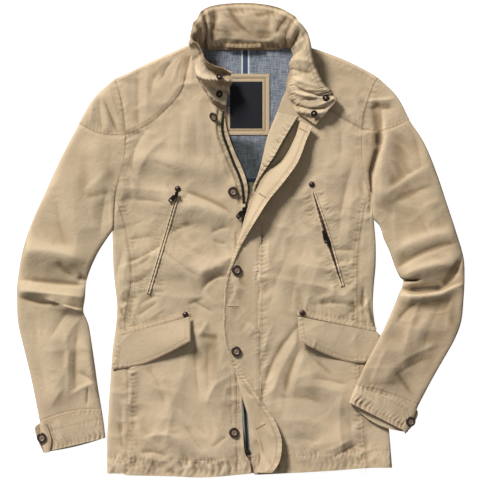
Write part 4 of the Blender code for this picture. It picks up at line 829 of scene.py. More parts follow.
def shell(name, upper, lower, material, closed=False, seam_shade=None, shade=0.0):
    """A closed wall between two grids of points (rows, across, 3)."""
    rows, across = upper.shape[:2]
    count = rows * across
    index = np.arange(count).reshape(rows, across)
    wide = np.hstack((index, index[:, :1])) if closed else index
    du = np.linalg.norm(np.diff(upper, axis=1), axis=2).mean(axis=0)
    dv = np.linalg.norm(np.diff(upper, axis=0), axis=2).mean(axis=1)
    u = np.concatenate(([0], np.cumsum(du), [np.sum(du) + du[-1]]))[:wide.shape[1]] * MM
    v = np.concatenate(([0], np.cumsum(dv))) * MM
    uv = np.stack(np.meshgrid(u, v), axis=-1)

    top = cells(wide).reshape(-1, 4)
    top_uv = cells(uv).reshape(-1, 4, 2)
    quads, uvs = [top, top[:, ::-1] + count], [top_uv, top_uv[:, ::-1]]
    rims = [(wide[0, 1:], wide[0, :-1], uv[0, 1:], uv[0, :-1]),
            (wide[-1, :-1], wide[-1, 1:], uv[-1, :-1], uv[-1, 1:])]
    if not closed:
        rims += [(index[1:, -1], index[:-1, -1], uv[1:, -1], uv[:-1, -1]),
                 (index[:-1, 0], index[1:, 0], uv[:-1, 0], uv[1:, 0])]
    for a, b, at_a, at_b in rims:
        quads.append(np.stack((a, b, b + count, a + count), axis=1))
        uvs.append(np.stack((at_a, at_b, at_b, at_a), axis=1))
    seam_shade = np.zeros((rows, across)) if seam_shade is None else seam_shade
    seam_shade = np.concatenate((seam_shade.ravel(), np.zeros(count)))
    # Wear and painted light from the cloth's shape, plus the piece's own shade value.
    wear_and_painted_light = (wear_and_painted_light_of(upper, closed) + shade).ravel()
    points = np.vstack((upper.reshape(-1, 3), lower.reshape(-1, 3)))
    return finish_mesh(name, points, np.vstack(quads), np.vstack(uvs), seam_shade, material,
                       wear_and_painted_light=np.concatenate((wear_and_painted_light, wear_and_painted_light)))


def patch(bottom, top, left, right):
    """Grid between four border lines: each pair blended, less the blend of the corners."""
    u = np.linspace(0, 1, len(bottom))[None, :, None]
    v = np.linspace(0, 1, len(left))[:, None, None]
    ruled = (1 - v) * bottom[None] + v * top[None] + (1 - u) * left[:, None] + u * right[:, None]
    corners = ((1 - u) * (1 - v) * bottom[0] + u * (1 - v) * bottom[-1]
               + (1 - u) * v * top[0] + u * v * top[-1])
    return ruled - corners


def lift(plan, z):
    """Plan points with their heights."""
    return np.concatenate((plan, z[..., None]), axis=-1)


def repeated(name, shape, quads, origins, x_way, y_way, z_way, material):
    """One small shape set many times: each point is origin + x * x_way + y * y_way + z * z_way."""
    points = (origins[:, None] + shape[None, :, 0:1] * x_way[:, None]
              + shape[None, :, 1:2] * y_way[:, None] + shape[None, :, 2:3] * z_way[:, None])
    many, size = len(origins), len(shape)
    faces = (quads[None] + np.arange(many)[:, None, None] * size).reshape(-1, 4)
    uvs = np.tile(np.array(((0, 0), (1, 0), (1, 1), (0, 1))) * MM, (len(faces), 1, 1))
    return finish_mesh(name, points.reshape(-1, 3), faces, uvs, np.zeros(many * size), material, 60.0)


def ring_quads(index):
    """Quads of a tube whose rings of points are the rows of index."""
    return cells(np.hstack((index, index[:, :1]))).reshape(-1, 4)


def end_quads(index):
    """Quads that close a tube's first and last ring, from one side of the ring to the other."""
    half = index.shape[1] // 2
    return [np.stack((loop[:half - 1], loop[1:half], loop[::-1][:half][1:], loop[::-1][:half - 1]), axis=1)
            for loop in (index[0], index[-1][::-1])]


def lathe(name, profile, segments, material, spot, normal=(0, 0, 1), second=None, split=0):
    """A solid turned about its axis from (radius, height) pairs that start and end near it.
    Faces from the profile's pair number split on take the second material."""
    profile = np.asarray(profile, float)
    angle = np.linspace(0, 2 * math.pi, segments, endpoint=False)
    radius = np.maximum(profile[:, 0], 0.01)
    ring = np.stack((np.outer(radius, np.cos(angle)), np.outer(radius, np.sin(angle)),
                     np.repeat(profile[:, 1:2], segments, axis=1)), axis=-1)
    z = np.asarray(normal, float) / np.linalg.norm(normal)
    x = np.cross((0.0, 1.0, 0.0), z)
    x /= np.linalg.norm(x)
    y = np.cross(z, x)
    points = np.asarray(spot) + ring @ np.array((x, y, z))
    index = np.arange(len(profile) * segments).reshape(len(profile), segments)
    quads = np.vstack([ring_quads(index)] + end_quads(index))
    uvs = np.zeros((len(quads), 4, 2))
    item = finish_mesh(name, points.reshape(-1, 3), quads, uvs, np.zeros(index.size), bpy.data.materials[material],
                       40.0)
    if second is not None:
        item.data.materials.append(bpy.data.materials[second])
        number = np.zeros(len(item.data.polygons), np.int32)
        number[split * segments:(len(profile) - 1) * segments] = 1
        item.data.polygons.foreach_set("material_index", number)
    return item


def keep(item, slot, *nodes, body=BODY):
    """Sets a piece on its body and hides the nodes that it stands for; slot is not used."""
    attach(item, body)
    if nodes:
        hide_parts(*nodes)
    return item


def keep_sewn(item, carrier, *nodes):
    """As keep() for a narrow cloth piece; carrier, the sheet that it is sewn on, is not used."""
    keep(item, "cloth", *nodes)


# ---------------------------------------------------------------- laying pieces on pieces
TREES = {}
RAY_START = 0.5          # metres, well over the collar
FAR_BELOW = -1e6         # stands for no cloth under a place


def tree_of(name):
    """Search tree of a finished piece, made once."""
    if name not in TREES:
        mesh = MADE[name].data
        points = [v.co[:] for v in mesh.vertices]
        TREES[name] = BVHTree.FromPolygons(points, [p.vertices[:] for p in mesh.polygons])
    return TREES[name]


def eased(values, reach):
    """A row of values averaged over a bell that reaches a number of them to each side."""
    kernel = np.exp(-np.linspace(-2, 2, reach * 2 + 1) ** 2)
    return np.convolve(np.pad(values, reach, mode="edge"), kernel / kernel.sum(), mode="valid")


def drape(names, x, y, blur=0):
    """Points and normals on the highest cloth of the named pieces under places x, y."""
    x, y = np.atleast_1d(np.asarray(x, float)), np.atleast_1d(np.asarray(y, float))
    spots = np.column_stack((x, y, np.full(x.shape, FAR_BELOW)))
    normals = np.tile((0.0, 0.0, 1.0), (len(x), 1))
    for name in names:
        tree = tree_of(name)
        for i in range(len(x)):
            hit, normal, _, _ = tree.ray_cast(Vector((x[i] * MM, y[i] * MM, RAY_START)), Vector((0, 0, -1)))
            if hit is not None and hit.z / MM > spots[i, 2]:
                spots[i, 2] = hit.z / MM
                normals[i] = normal
    found = spots[:, 2] > FAR_BELOW
    if not found.any():
        raise ValueError(f"nothing of {names} there")
    spots[~found, 2] = np.interp(np.flatnonzero(~found), np.flatnonzero(found), spots[found, 2])
    if blur:
        spots[:, 2] = eased(spots[:, 2], blur)
    return spots, normals


def cloth_piece(name, upper, lower, closed=False, seam_shade=None, material="Jacket cloth",
                shade=0.0):
    """A shell of cloth on its body, that hides the node of its name."""
    # Painted shade, darker in the listed deep folds, on all shell cloth but the collar.
    if material == "Jacket cloth" and not name.startswith("collar"):
        shade = shade + ridges(PAINTED_FOLD_SHADE, upper[..., 0], upper[..., 1])
    item = shell(name, upper, lower, bpy.data.materials[material], closed, seam_shade, shade=shade)
    slot = {"Jacket lining": "lining", "Jacket label": "label"}.get(material, "cloth")
    keep(item, slot, name)
    return item


# ---------------------------------------------------------------- body
SEAM_X = 207.0           # where the hem is read for a side seam's foot
FLANK_X = 238.0          # and for a side edge's foot
OPENING_FOOT = 95        # height at which the front opening starts
# Seam marks are painted shade along the seams.
ON_TOP = 5               # below this height a wrapped piece shows no seam marks


def under_collar(line, side):
    """A line that ends at the neck, carried on under the collar, and its new end."""
    corner = line[-1:] + (-SIGN[side] * 9.0, 3.0)
    return np.vstack((line, corner)), corner


def front_plan(side, columns, low_rows, high_rows):
    """Plan of a front between its side seam and armhole, hem, opening and yoke seam."""
    corner = level(SEAM_COLUMN[side], np.array([hem_at(SIGN[side] * SEAM_X)]))[0]
    y = np.linspace(hem_at(corner), 126, 60)
    flank = np.column_stack((level(SEAM_COLUMN[side], y), y))
    arm = spline(ARMHOLE_LOWER[side], 30)[::-1]
    yoke, corner = under_collar(spline(YOKE_SEAM[side], 80), side)
    neck = spline(NECKLINE[side], 30)[::-1]
    neck = np.vstack((neck[neck[:, 1] < 374], corner))
    opening = join(spline(CENTRE[side], 60)[::-1], spline(OPENING[side], 60)[::-1], neck)
    border = join(flank, arm)

    def two_parts(line):
        """A border read evenly below the end of the opening, and evenly above it."""
        split = int(np.argmax(line[:, 1] > OPENING_FOOT))
        return np.vstack((even(line[:split + 1], low_rows), even(line[split:], high_rows)[1:]))

    outer, inner = two_parts(border), two_parts(opening)
    x = np.linspace(outer[0, 0], inner[0, 0], columns)
    return patch(np.column_stack((x, hem_at(x))), even(yoke, columns), outer, inner)


def covered(x, y):
    """1 where the storm flap or a pocket flap lies on the fronts, 0 in the open."""
    table = resample(STORM_FLAP, 80)[::-1]
    seam = np.interp(y, table[:, 1], table[:, 0])
    fold = np.interp(y, table[:, 3], table[:, 2])
    found = smooth((x - fold + 2) / 8) * smooth((seam - 3 - x) / 8) * smooth((175 - y) / 20)
    for side in SIDES:
        (x0, y0), (x1, y1) = POCKET_FLAP[side][:2]
        top = y0 + (y1 - y0) * (x - x0) / (x1 - x0)
        low, high = min(x0, x1), max(x0, x1)
        inside = smooth((x - low + 4) / 8) * smooth((high + 4 - x) / 8)
        found = np.maximum(found, inside * smooth((top + 4 - y) / 6) * smooth((y - top + 62) / 14))
    return found


def front_surface(x, y):
    """Height and mask of painted seam shade of the fronts: as body_height(), calmer under the pieces on them."""
    fine, mask = body_height(x, y, seam_shade=True)
    calm = plain_body(x, y)
    hidden = covered(x, y)
    z = fine + (np.minimum(fine, calm - 0.6) - fine) * hidden
    return body_top(x, y, lambda *_: z), mask * (1 - hidden)


def make_back():
    """The back, flat on the surface, a little wider than the fronts at the armholes."""
    loops = {}
    for side in SIDES:
        sign = SIGN[side]
        y = np.linspace(hem_at(sign * FLANK_X), 126, 60)
        flank = np.column_stack((level(EDGE_COLUMN[side], y) - sign * UNDER_TURN, y))
        arm = spline(ARMHOLE_LOWER[side], 20)[::-1]
        upper = armhole_upper(side, np.linspace(1, 0.2, 12)) + (sign * 2.5, 0)
        shoulder = spline(SHOULDER[side], 30)[::-1][2:] - (sign * 6, 14)
        loops[side] = even(join(flank, arm + (sign * 1.5, 0), upper, shoulder), 90)
    right, left = loops["right"], loops["left"]
    x = np.linspace(right[0, 0], left[0, 0], 50)
    top = np.linspace(right[-1], left[-1], 50) + np.outer(np.sin(np.linspace(0, np.pi, 50)), (0, 5))
    plan = patch(np.column_stack((x, hem_at(x) + 1)), top, right, left)
    flat = lift(plan, np.full(plan.shape[:2], BACK_WALL))
    cloth_piece("back", flat, flat - (0, 0, BACK_WALL))


def wrapped_body_piece(name, *given, **more):
    """A piece of the body that wrap() carries round its outline, laid on the back."""
    outer, inner = wrap(*given, **more)
    _, mask = body_height(outer[..., 0], outer[..., 1], seam_shade=True)
    cloth_piece(name, outer, inner, seam_shade=mask * (outer[..., 2] > ON_TOP))


def make_yoke(side):
    """A front yoke, from its seam over the shoulder's edge and back under."""
    seam = even(under_collar(spline(YOKE_SEAM[side], 80), side)[0], 64)
    edge = even(under_collar(spline(SHOULDER[side], 80)[::-1], side)[0], 64)
    bow = np.clip(1 - np.linspace(0, 10, 64) / 3.0, 0, 1)[:, None] * (-SIGN[side] * ARMHOLE_UPPER[side][2], 0)
    wrapped_body_piece(f"front_yoke_{side}", seam, edge, edge + UNDER_TURN * unit(seam - edge), body_height, 52, 10,
                       bow=bow)


def make_side_panel(side):
    """A side panel, from its seam round the body's side edge and back under."""
    y = np.linspace(128, hem_at(SIGN[side] * FLANK_X), 200)
    edge, seam = (np.column_stack((level(column[side], y), y)) for column in (EDGE_COLUMN, SEAM_COLUMN))
    under = edge - (SIGN[side] * (UNDER_TURN - GAP), 0)
    wrapped_body_piece(f"side_panel_{side}", seam, edge, under, body_height, 16, 8)


def make_body():
    """The back, the fronts, the yokes and the side panels."""
    make_back()
    for side in SIDES:
        plan = front_plan(side, 92, 190, 84)
        z, mask = front_surface(plan[..., 0], plan[..., 1])
        upper = lift(plan, z)
        cloth_piece(f"front_{side}", upper, upper - (0, 0, WALL), seam_shade=mask)
        make_yoke(side)
        make_side_panel(side)


def wrap_shares(across):
    """Shares from a seam, 0, to an outline, 1, closer together where the cloth rolls down."""
    return np.linspace(0, 1, across) ** 0.62


def wrap(seam, edge, under, top, across, turns, bow=None):
    """Outer and inner grids of a piece that runs from a seam over an outline and back under.

    Height over the outline's: half + (top - half) * rolled(distance), and below it
    half - half * rolled(distance). bow moves the middle of each row sideways in plan."""
    share = wrap_shares(across)[None, :, None]
    under_share = (np.linspace(0, 1, turns + 1)[1:] ** 1.4)[None, :, None]
    seam, edge, under = seam[:, None], edge[:, None], under[:, None]
    half = LAID / 2
    reach = np.linalg.norm(seam - edge, axis=2, keepdims=True)
    way = (seam - edge) / np.maximum(reach, 1e-6)
    aside = np.zeros((1, 1, 2)) if bow is None else bow[:, None]
    d_top = reach * (1 - share)
    plan_top = edge + d_top * way + np.sin(math.pi * share) * aside
    length = np.linalg.norm(under - edge, axis=2, keepdims=True)
    way_under = (under - edge) / np.maximum(length, 1e-6)
    d_under = length * under_share
    plan_under = edge + d_under * way_under
    plan_under = plan_under + np.sin(math.pi * np.clip(d_under / np.maximum(reach, 1e-6), 0, 1)) * aside
    tall = top(plan_top[..., 0], plan_top[..., 1])[..., None]
    z_top = half + (tall - half) * rolled(d_top)
    z_under = half - half * rolled(d_under, UNDER_ROUND)
    in_top = plan_top + way * (WALL * np.clip(1 - d_top / EDGE_ROUND, 0, 1) ** 2 * share)
    in_under = plan_under + way_under * (WALL * np.clip(1 - d_under / UNDER_ROUND, 0, 1) ** 2)
    z_in_top = half + (tall - WALL - half) * rolled(d_top)
    z_in_under = half - (half - WALL) * rolled(d_under, UNDER_ROUND)
    return (np.concatenate((lift(plan_top, z_top[..., 0]), lift(plan_under, z_under[..., 0])), axis=1),
            np.concatenate((lift(in_top, z_in_top[..., 0]), lift(in_under, z_in_under[..., 0])), axis=1))


# ---------------------------------------------------------------- sleeves
def first_ring(side, top, lower, under):
    """Plan of a sleeve's first section: along the cap seam, then down the armhole."""
    arm = spline(ARMHOLE_LOWER[side], lower)[1:]
    low = spline(UNDERARM[side], under + 4)[4:]
    ring = np.vstack((cap_seam(side, 1 - wrap_shares(top)[::-1]), arm, low))
    return ring - (SIGN[side] * 0.4, GAP)


def sleeve_plan(side, rows, columns):
    """Plan of a sleeve from its first section down to the cuff seam, in even columns."""
    ring = first_ring(side, 46, 28, 12)
    run = run_of(ring)
    share = smooth_ends(columns)
    first = read_at(share, run / run[-1], ring)
    table = resample(SLEEVE[side], rows)
    outer, inner = table[:, None, :2], table[:, None, 2:]
    plan = outer + (inner - outer) * share[None, :, None]
    fade = np.clip(1 - np.linspace(0, 1, rows) / 0.45, 0, 1) ** 1.6
    plan += (first - plan[0])[None] * fade[:, None, None]
    last = table[-1]
    way = towards_body(*last)
    late = np.clip((np.linspace(0, 1, rows) - 0.8) / 0.2, 0, 1)[:, None, None]
    plan += CUFF_BOW[side] * np.sin(math.pi * share)[None, :, None] * way * late
    return plan, share


def smooth_ends(count):
    """Shares from 0 to 1 that lie closer together at both ends."""
    t = np.linspace(0, 1, count)
    return t - 0.085 * np.sin(2 * math.pi * t)


def tube(plan, ground, height, thickness, drop=None, skip=3):
    """Outer and inner rings of a flattened tube: the upper cloth at ground + half +
    (height - half) * rolled(run to the nearer edge), the lower at ground + half - half * rolled."""
    way = unit(np.gradient(plan, axis=1))
    step = np.linalg.norm(np.diff(plan, axis=1), axis=2)
    run = np.concatenate((np.zeros((len(plan), 1)), np.cumsum(step, axis=1)), axis=1)
    near = np.minimum(run, run[:, -1:] - run)
    share = run / run[:, -1:]
    base = ground(plan[..., 0], plan[..., 1])
    tall = height(plan[..., 0], plan[..., 1])
    half = LAID / 2
    up = base + half + (tall - half) * rolled(near)
    down = base + half - half * rolled(near, UNDER_ROUND)
    moved = (thickness * (1 - 2 * share) * np.clip(1 - near / EDGE_ROUND, 0, 1) ** 2)[..., None] * way
    in_up = base + half + (tall - half - thickness) * rolled(near)
    in_down = base + half - (half - thickness) * rolled(near, UNDER_ROUND)
    low = plan if drop is None else plan + drop[:, None] * np.sin(math.pi * share)[..., None]
    count = plan.shape[1]
    edge = np.arange(1, 8)
    back = np.unique(np.concatenate((edge, np.arange(8, count - 8, skip), count - 1 - edge)))[::-1]
    outer = np.concatenate((lift(plan, up), lift(low, down)[:, back]), axis=1)
    inner = np.concatenate((lift(plan + moved, in_up), lift(low + moved, in_down)[:, back]), axis=1)
    return outer, inner


def tucked(grid):
    """A sleeve's rings with one more in front, pushed 2 mm under the cap and the body."""
    first = grid[:1] + unit(grid[:1] - grid[1:2]) * (2.0, 2.0, 0.0)
    first[..., 2] -= np.clip(first[..., 2] - 2.0, 0, 1.1)
    return np.concatenate((first, grid))


def make_sleeves():
    """Sleeves, their caps and cuffs."""
    for side in SIDES:
        def ground(x, y, side=side):
            return sleeve_ground(side, x, y)

        def height(x, y, side=side):
            return sleeve_height(side, x, y)

        plan, share = sleeve_plan(side, 190, 78)
        outer, inner = (tucked(grid) for grid in tube(plan, ground, height, WALL))
        _, mask = sleeve_height(side, outer[..., 0], outer[..., 1], seam_shade=True)
        mask[:, 78:] = 0
        # The left sleeve gets painted shade, darker all over.
        cloth_piece(f"sleeve_{side}", outer, inner, closed=True, seam_shade=mask,
                    shade=0.0 if side == "right" else -0.3)
        make_cap(side, height)
        make_cuff(side, plan[-1], share, ground)


def make_cap(side, height):
    """The yoke's continuation over the sleeve head, folded over the outer edge."""
    sign = SIGN[side]
    rows = 44
    share = np.linspace(0.03, 1, rows)
    seam = armhole_upper(side, share) + (sign * GAP, 0)
    tip = np.array(SLEEVE[side][0][:2], float)
    end = np.array(SHOULDER[side][-1], float)
    middle = (tip + end) / 2 + (sign * 5, 5)
    edge = spline((end, middle, tip), rows) + (sign * 0.6, 0)
    bow = np.outer(share ** 2, (0, -CAP_BOW))
    outer, inner = wrap(seam, edge, seam + (edge - seam) * 0.02, height, 46, 12, bow)
    _, mask = sleeve_height(side, outer[..., 0], outer[..., 1], seam_shade=True)
    cloth_piece(f"sleeve_cap_{side}", outer, inner, seam_shade=mask * (outer[..., 2] > ON_TOP))


def cuff_plan(side, seam_line, share, rows):
    """Plan of a cuff from the sleeve's last section to the mouth, and the way along it."""
    table = resample(CUFF[side], rows)
    plan = table[:, None, :2] + (table[:, None, 2:] - table[:, None, :2]) * share[None, :, None]
    plan = plan + (seam_line - plan[0])[None] * np.linspace(1, 0, rows)[:, None, None]
    way = np.mean(plan[-1] - plan[0], axis=0)
    way = way / np.linalg.norm(way)
    return plan - way * GAP, way


def cuff_relief(side, x, y):
    """Height of a cuff's upper cloth: the sleeve's, with ripples between its stitched lines."""
    mouth = np.array(CUFF[side][-1], float)
    line = np.linspace(mouth[:2], mouth[2:], 30)
    ripple, mask = sewn([(shifted(line, -SIGN[side] * 8), 10, 7.5, 0.7, 0, 0.3),
                         (shifted(line, -SIGN[side] * 36), 10, 7.5, 0.5, 0, 0.3)], x, y)
    return sleeve_height(side, x, y) + ripple + 0.7, mask


def make_cuff(side, seam_line, share, ground):
    """A cuff continues its sleeve's last section to the mouth."""
    rows = 28
    plan, way = cuff_plan(side, seam_line, share, rows)
    drop = np.outer(MOUTH_DROP[side] * np.linspace(0, 1, rows) ** 2, way)
    outer, inner = tube(plan, ground, lambda x, y: cuff_relief(side, x, y)[0], WALL + 0.3, drop)
    mask = cuff_relief(side, outer[..., 0], outer[..., 1])[1]
    mask[:, len(share):] = 0
    cloth_piece(f"cuff_{side}", outer, inner, closed=True, seam_shade=mask)


# ---------------------------------------------------------------- collar and neck
# Folds of the collar: station and share up the stand at both ends, half width in stations,
# and height along the normal that points to the inside.
COLLAR_FOLDS = (
    # s0, t0, s1, t1, width, height
    (3, 0.1, 2.6, 0.9, 0.28, -2.4), (4, 0, 3.4, 1, 0.22, 2.6), (5.2, 0.2, 4.6, 1, 0.26, -3.4),
    (5.6, 0, 5.6, 0.8, 0.2, 3), (6.3, 0.2, 6, 1, 0.2, -4.2), (6.6, 0.1, 6.7, 0.7, 0.16, 3.2),
    (6.9, 0.3, 6.7, 0.95, 0.14, -2.6), (7.4, 0.5, 7.2, 1, 0.16, 1.8), (8, 0.1, 8.1, 0.6, 0.3, 1.2),
    (8.7, 0.3, 9, 0.9, 0.26, -1.6), (9.3, 0.2, 9.5, 1, 0.22, 2.8), (9.75, 0.1, 9.9, 0.9, 0.16, -4),
    (10.2, 0.3, 10.2, 1, 0.2, 2.6), (10.7, 0.2, 10.8, 0.9, 0.2, -2.2), (11.6, 0, 11.3, 0.9, 0.26, 1.6),
    (12.6, 0.1, 12.2, 1, 0.26, -1.8), (13.4, 0.1, 13.6, 0.9, 0.3, 2.2), (14.3, 0, 14.6, 0.9, 0.26, -2.2),
    (15, 0.1, 15.4, 0.8, 0.2, 1.8), (0.6, 0.2, 1, 0.9, 0.24, 1.8), (1.5, 0.5, 1.9, 0.55, 0.5, -2.2),
)
STATION = 38.0           # run of the unrolled collar from one station to the next
STAND = 76.0             # rise of the unrolled collar from its seam to its rim
# Creases of the unrolled collar, in millimetres along it from its right end and up from its seam:
# run0, rise0, run1, rise1, bend, width, height, lean.
COLLAR_CREASES = (
    (-8, 58, 116, 38, -4, 6, -12, 0.1), (-8, 72, 120, 62, 0, 7, 7, 0), (-8, 36, 70, 24, 0, 9, 5, 0),
    (-8, 10, 62, 14, 0, 4.5, -5.5, 0), (100, 44, 150, 66, 0, 5, -1.8, 0), (228, 18, 238, 74, 3, 6, 5.2, 0.2),
    (242, 8, 252, 66, 2, 5, -5.8, 0.2), (258, 30, 262, 76, 0, 4, 3.4, 0), (268, 36, 274, 72, 2, 4, -3.4, 0),
    (282, 62, 300, 22, 3, 5, 2.2, 0), (292, 66, 312, 30, 3, 4, -2.3, 0), (322, 56, 342, 66, 0, 4, -1.6, 0),
    (336, 12, 356, 34, 0, 5, 1.5, 0), (350, 28, 366, 72, -2, 6, -4.4, 0.2), (372, 14, 383, 72, 0, 5, 3.7, 0.2),
    (392, 6, 398, 60, 0, 5, -4.1, 0), (405, 10, 415, 62, 0, 5, 2.7, 0), (424, 4, 428, 56, 2, 6, -2.4, 0),
    (442, 2, 450, 66, -2, 6, 2.7, 0.2), (462, 2, 470, 56, 0, 5, -2.2, 0), (482, 12, 500, 66, 0, 8, 2.4, 0.2),
    (505, 17, 551, 58, -2, 5, -3.4, 0.2), (520, 8, 560, 60, -2, 5, 3.1, 0), (547, 0, 597, 46, 3, 4.5, -3.4, 0.2),
    (566, 0, 606, 40, 3, 4, 2.4, 0), (590, 4, 616, 24, 0, 4, -1.8, 0),
)
# Painted shade in the deep folds of the unrolled collar: run0, rise0, run1, rise1, width, and how much darker.
COLLAR_PAINTED_SHADE = (
    (-20, 58, 60, 48, 7, -1.1), (-20, 10, 50, 13, 4, -0.8), (240, 10, 252, 62, 4, -0.7), (352, 30, 366, 70, 4, -0.7),
    (392, 8, 398, 60, 4, -0.6), (505, 19, 551, 58, 4, -0.5), (547, 2, 597, 46, 4, -0.5),
)


def surface_normals(grid):
    """Unit normals of a grid of points: rows times columns."""
    normal = np.cross(np.gradient(grid, axis=0), np.gradient(grid, axis=1))
    return normal / np.maximum(np.linalg.norm(normal, axis=2, keepdims=True), 1e-9)


def collar_relief(s, t):
    """Relief of the collar towards its inside at stations s and shares t up the stand."""
    out = 0 * s * t
    for s0, t0, s1, t1, width, height in COLLAR_FOLDS:
        middle = s0 + (s1 - s0) * (t - t0) / (t1 - t0 if abs(t1 - t0) > 0.1 else 0.1)
        reach = smooth((t - t0 + 0.25) / 0.3) * smooth((t1 + 0.3 - t) / 0.3)
        out += bpy.context.scene.jacket_sizes.folds * height * np.exp(-np.abs((s - middle) / width) ** 1.5) * reach
    run = s * STATION
    rise = t * STAND + 0 * s
    out += placed_creases(COLLAR_CREASES, run + 0 * rise, rise)
    out += 2.6 * crumple(run, rise * 1.4, 38, 70) + 1.5 * crumple(run, rise * 1.4, 20, 71)
    out += 0.6 * crumple(run, rise * 1.4, 10, 72)
    for row, reach, ripple in ((70.0, 5, 0.45), (8.0, 6, 0.8), (60.0, 5, 0.3)):
        out += ripple * puckers(run, rise, 8.0, 23) * np.exp(-((rise - row) / reach) ** 2)
    return out - 4.5 * smooth((t - 0.93) / 0.09)


def collar_surface(stations=250, across=46):
    """Middle surface of the collar, its normals on the inner side, and its stations and shares.

    Each station runs from the neck seam to the rim in a curve that bulges along the normal and
    turns over at the rim."""
    table = resample(COLLAR, stations)
    seam, rim, bulge = table[:, :3].copy(), table[:, 3:6], table[:, 6]
    seam[:, 2] += plain_body(seam[:, 0], seam[:, 1])
    s, t = np.linspace(0, len(COLLAR) - 1, stations)[:, None], np.linspace(0, 1, across)[None]
    line = seam[:, None] + (rim - seam)[:, None] * t[..., None]
    line = line + surface_normals(line) * (bulge[:, None] * np.sin(math.pi * t))[..., None]
    line = line + surface_normals(line) * collar_relief(s, t)[..., None]
    line[..., 2] = np.maximum(line[..., 2], 3.5)
    return line, surface_normals(line), s, t


def make_collar():
    """Outer and inner collar, each a layer on its own side of the middle surface."""
    line, normal, s, t = collar_surface()
    half = THIN / 2 + 0.05
    run, rise = STATION * s + 0 * t, STAND * t + 0 * s
    mask = np.exp(-((rise - 66) / 1.2) ** 2) + np.exp(-((rise - 5) / 1.5) ** 2)
    # Painted shade: darker over the back stretch of the collar, in a band along the rim and in the listed deep folds.
    painted_shade = -0.45 * smooth((s - 4.6) / 1.2) * smooth((10.6 - s) / 0.9) * smooth((1.05 - t) / 0.1)
    painted_shade = painted_shade - 0.5 * smooth((t - 0.93) / 0.03) + ridges(COLLAR_PAINTED_SHADE, run, rise)
    for name, side in (("collar_outer", -1), ("collar_inner", 1)):
        middle = line + normal * half * side
        cloth_piece(name, middle + normal * side * THIN / 2, middle - normal * side * THIN / 2,
                    seam_shade=np.clip(mask, 0, 1), shade=painted_shade)


def lining_height(x, y):
    """Height of the lining in the neck: flat on the back, with soft waves."""
    return BACK_WALL + 1.3 + 0.8 * noise(x, y, 55, 31) + 0.35 * noise(x, y, 18, 32)


def box_grid(x_range, y_range, step):
    """Plan points over a rectangle."""
    x = np.linspace(*x_range, int((x_range[1] - x_range[0]) / step) + 2)
    y = np.linspace(*y_range, int((y_range[1] - y_range[0]) / step) + 2)
    return np.stack(np.meshgrid(x, y), axis=-1)


def rim_distance(plan, x_range, y_range):
    """Distance of plan points from the nearest edge of a rectangle."""
    x, y = plan[..., 0], plan[..., 1]
    return np.minimum(np.minimum(x - x_range[0], x_range[1] - x), np.minimum(y - y_range[0], y_range[1] - y))


def make_lining():
    """The lining in the neck opening, with painted shade beside the front's edge and the collar."""
    outline = np.array(LINING_OUTLINE, float)
    left = even(outline[[8, 9, 10, 11, 0]], 120)
    right = even(outline[[8, 7, 6, 5, 4]], 120)
    share = np.linspace(0, 1, 70)[None, :, None]
    rise = np.linspace(0, 1, 120)[:, None, None] ** 2 * (1 - (2 * share - 1) ** 6)
    plan = left[:, None] * (1 - share) + right[:, None] * share + (0, 14) * rise
    x, y = plan[..., 0], plan[..., 1]
    upper = lift(plan, lining_height(x, y))
    # Painted shade: darker low down, and more so beside the right front's opening edge and the right neckline.
    low = smooth((250 - y) / 30)
    off = np.abs(along(spline(OPENING["right"], 30), x, y)[1])
    painted_shade = -0.95 * np.exp(-(off / 40) ** 2) * low - 0.3 * low
    off = np.abs(along(spline(NECKLINE["right"], 30), x, y)[1])
    painted_shade -= 0.5 * np.exp(-(off / 22) ** 2)
    cloth_piece("back_lining", upper, upper - (0, 0, 0.9), material="Jacket lining", shade=painted_shade)


def make_neck():
    """The lining, the label and the patch that it is sewn on."""
    make_lining()
    plan = box_grid(PATCH["x"], PATCH["y"], 2.0)
    edge = rim_distance(plan, PATCH["x"], PATCH["y"])
    calm = BACK_WALL + 2.4 + 0.5 * noise(plan[..., 0], plan[..., 1], 60, 33)
    bound = 0.35 * np.exp(-((edge - 3.5) / 2.4) ** 2) - 0.5 * np.exp(-((edge - 7.5) / 1.0) ** 2)
    mask = np.exp(-((edge - 7.5) / 1.2) ** 2)
    cloth_piece("label_patch", lift(plan, calm + bound), lift(plan, calm - 0.8), seam_shade=mask,
                shade=-0.3)
    plan = box_grid(LABEL["x"], LABEL["y"], 2.0)
    z = BACK_WALL + 3.3 + 0.5 * noise(plan[..., 0], plan[..., 1], 60, 33)
    upper = lift(plan, z - 0.4 * np.exp(-(rim_distance(plan, LABEL["x"], LABEL["y"]) / 1.5) ** 2))
    cloth_piece("label", upper, lift(plan, z - 0.8), material="Jacket label")


def strip(name, path, width, thick, names, steps, material, lift_by=0.2, blur=3, crown=0.3, shade=0.0):
    """A narrow band along a path, laid on the named pieces, with a low crown."""
    line = spline(path, steps)
    shares = np.linspace(-1, 1, 7)
    plan = np.stack([shifted(line, width / 2 * s) for s in shares], axis=1)
    spots, _ = drape(names, line[:, 0], line[:, 1])
    for s in (-0.8, 0.8):
        aside = shifted(line, width / 2 * s)
        spots[:, 2] = np.maximum(spots[:, 2], drape(names, aside[:, 0], aside[:, 1])[0][:, 2])
    z = eased(spots[:, 2], blur) + lift_by
    run = run_of(line)
    wave = 0.3 * puckers(run, 0 * run, 8.0, 5)
    upper = lift(plan, (z + wave)[:, None] + thick + crown * (1 - shares[None] ** 2))
    lower = lift(plan, np.repeat(z[:, None], 7, axis=1))
    return shell(name, upper, lower, bpy.data.materials[material], shade=shade)


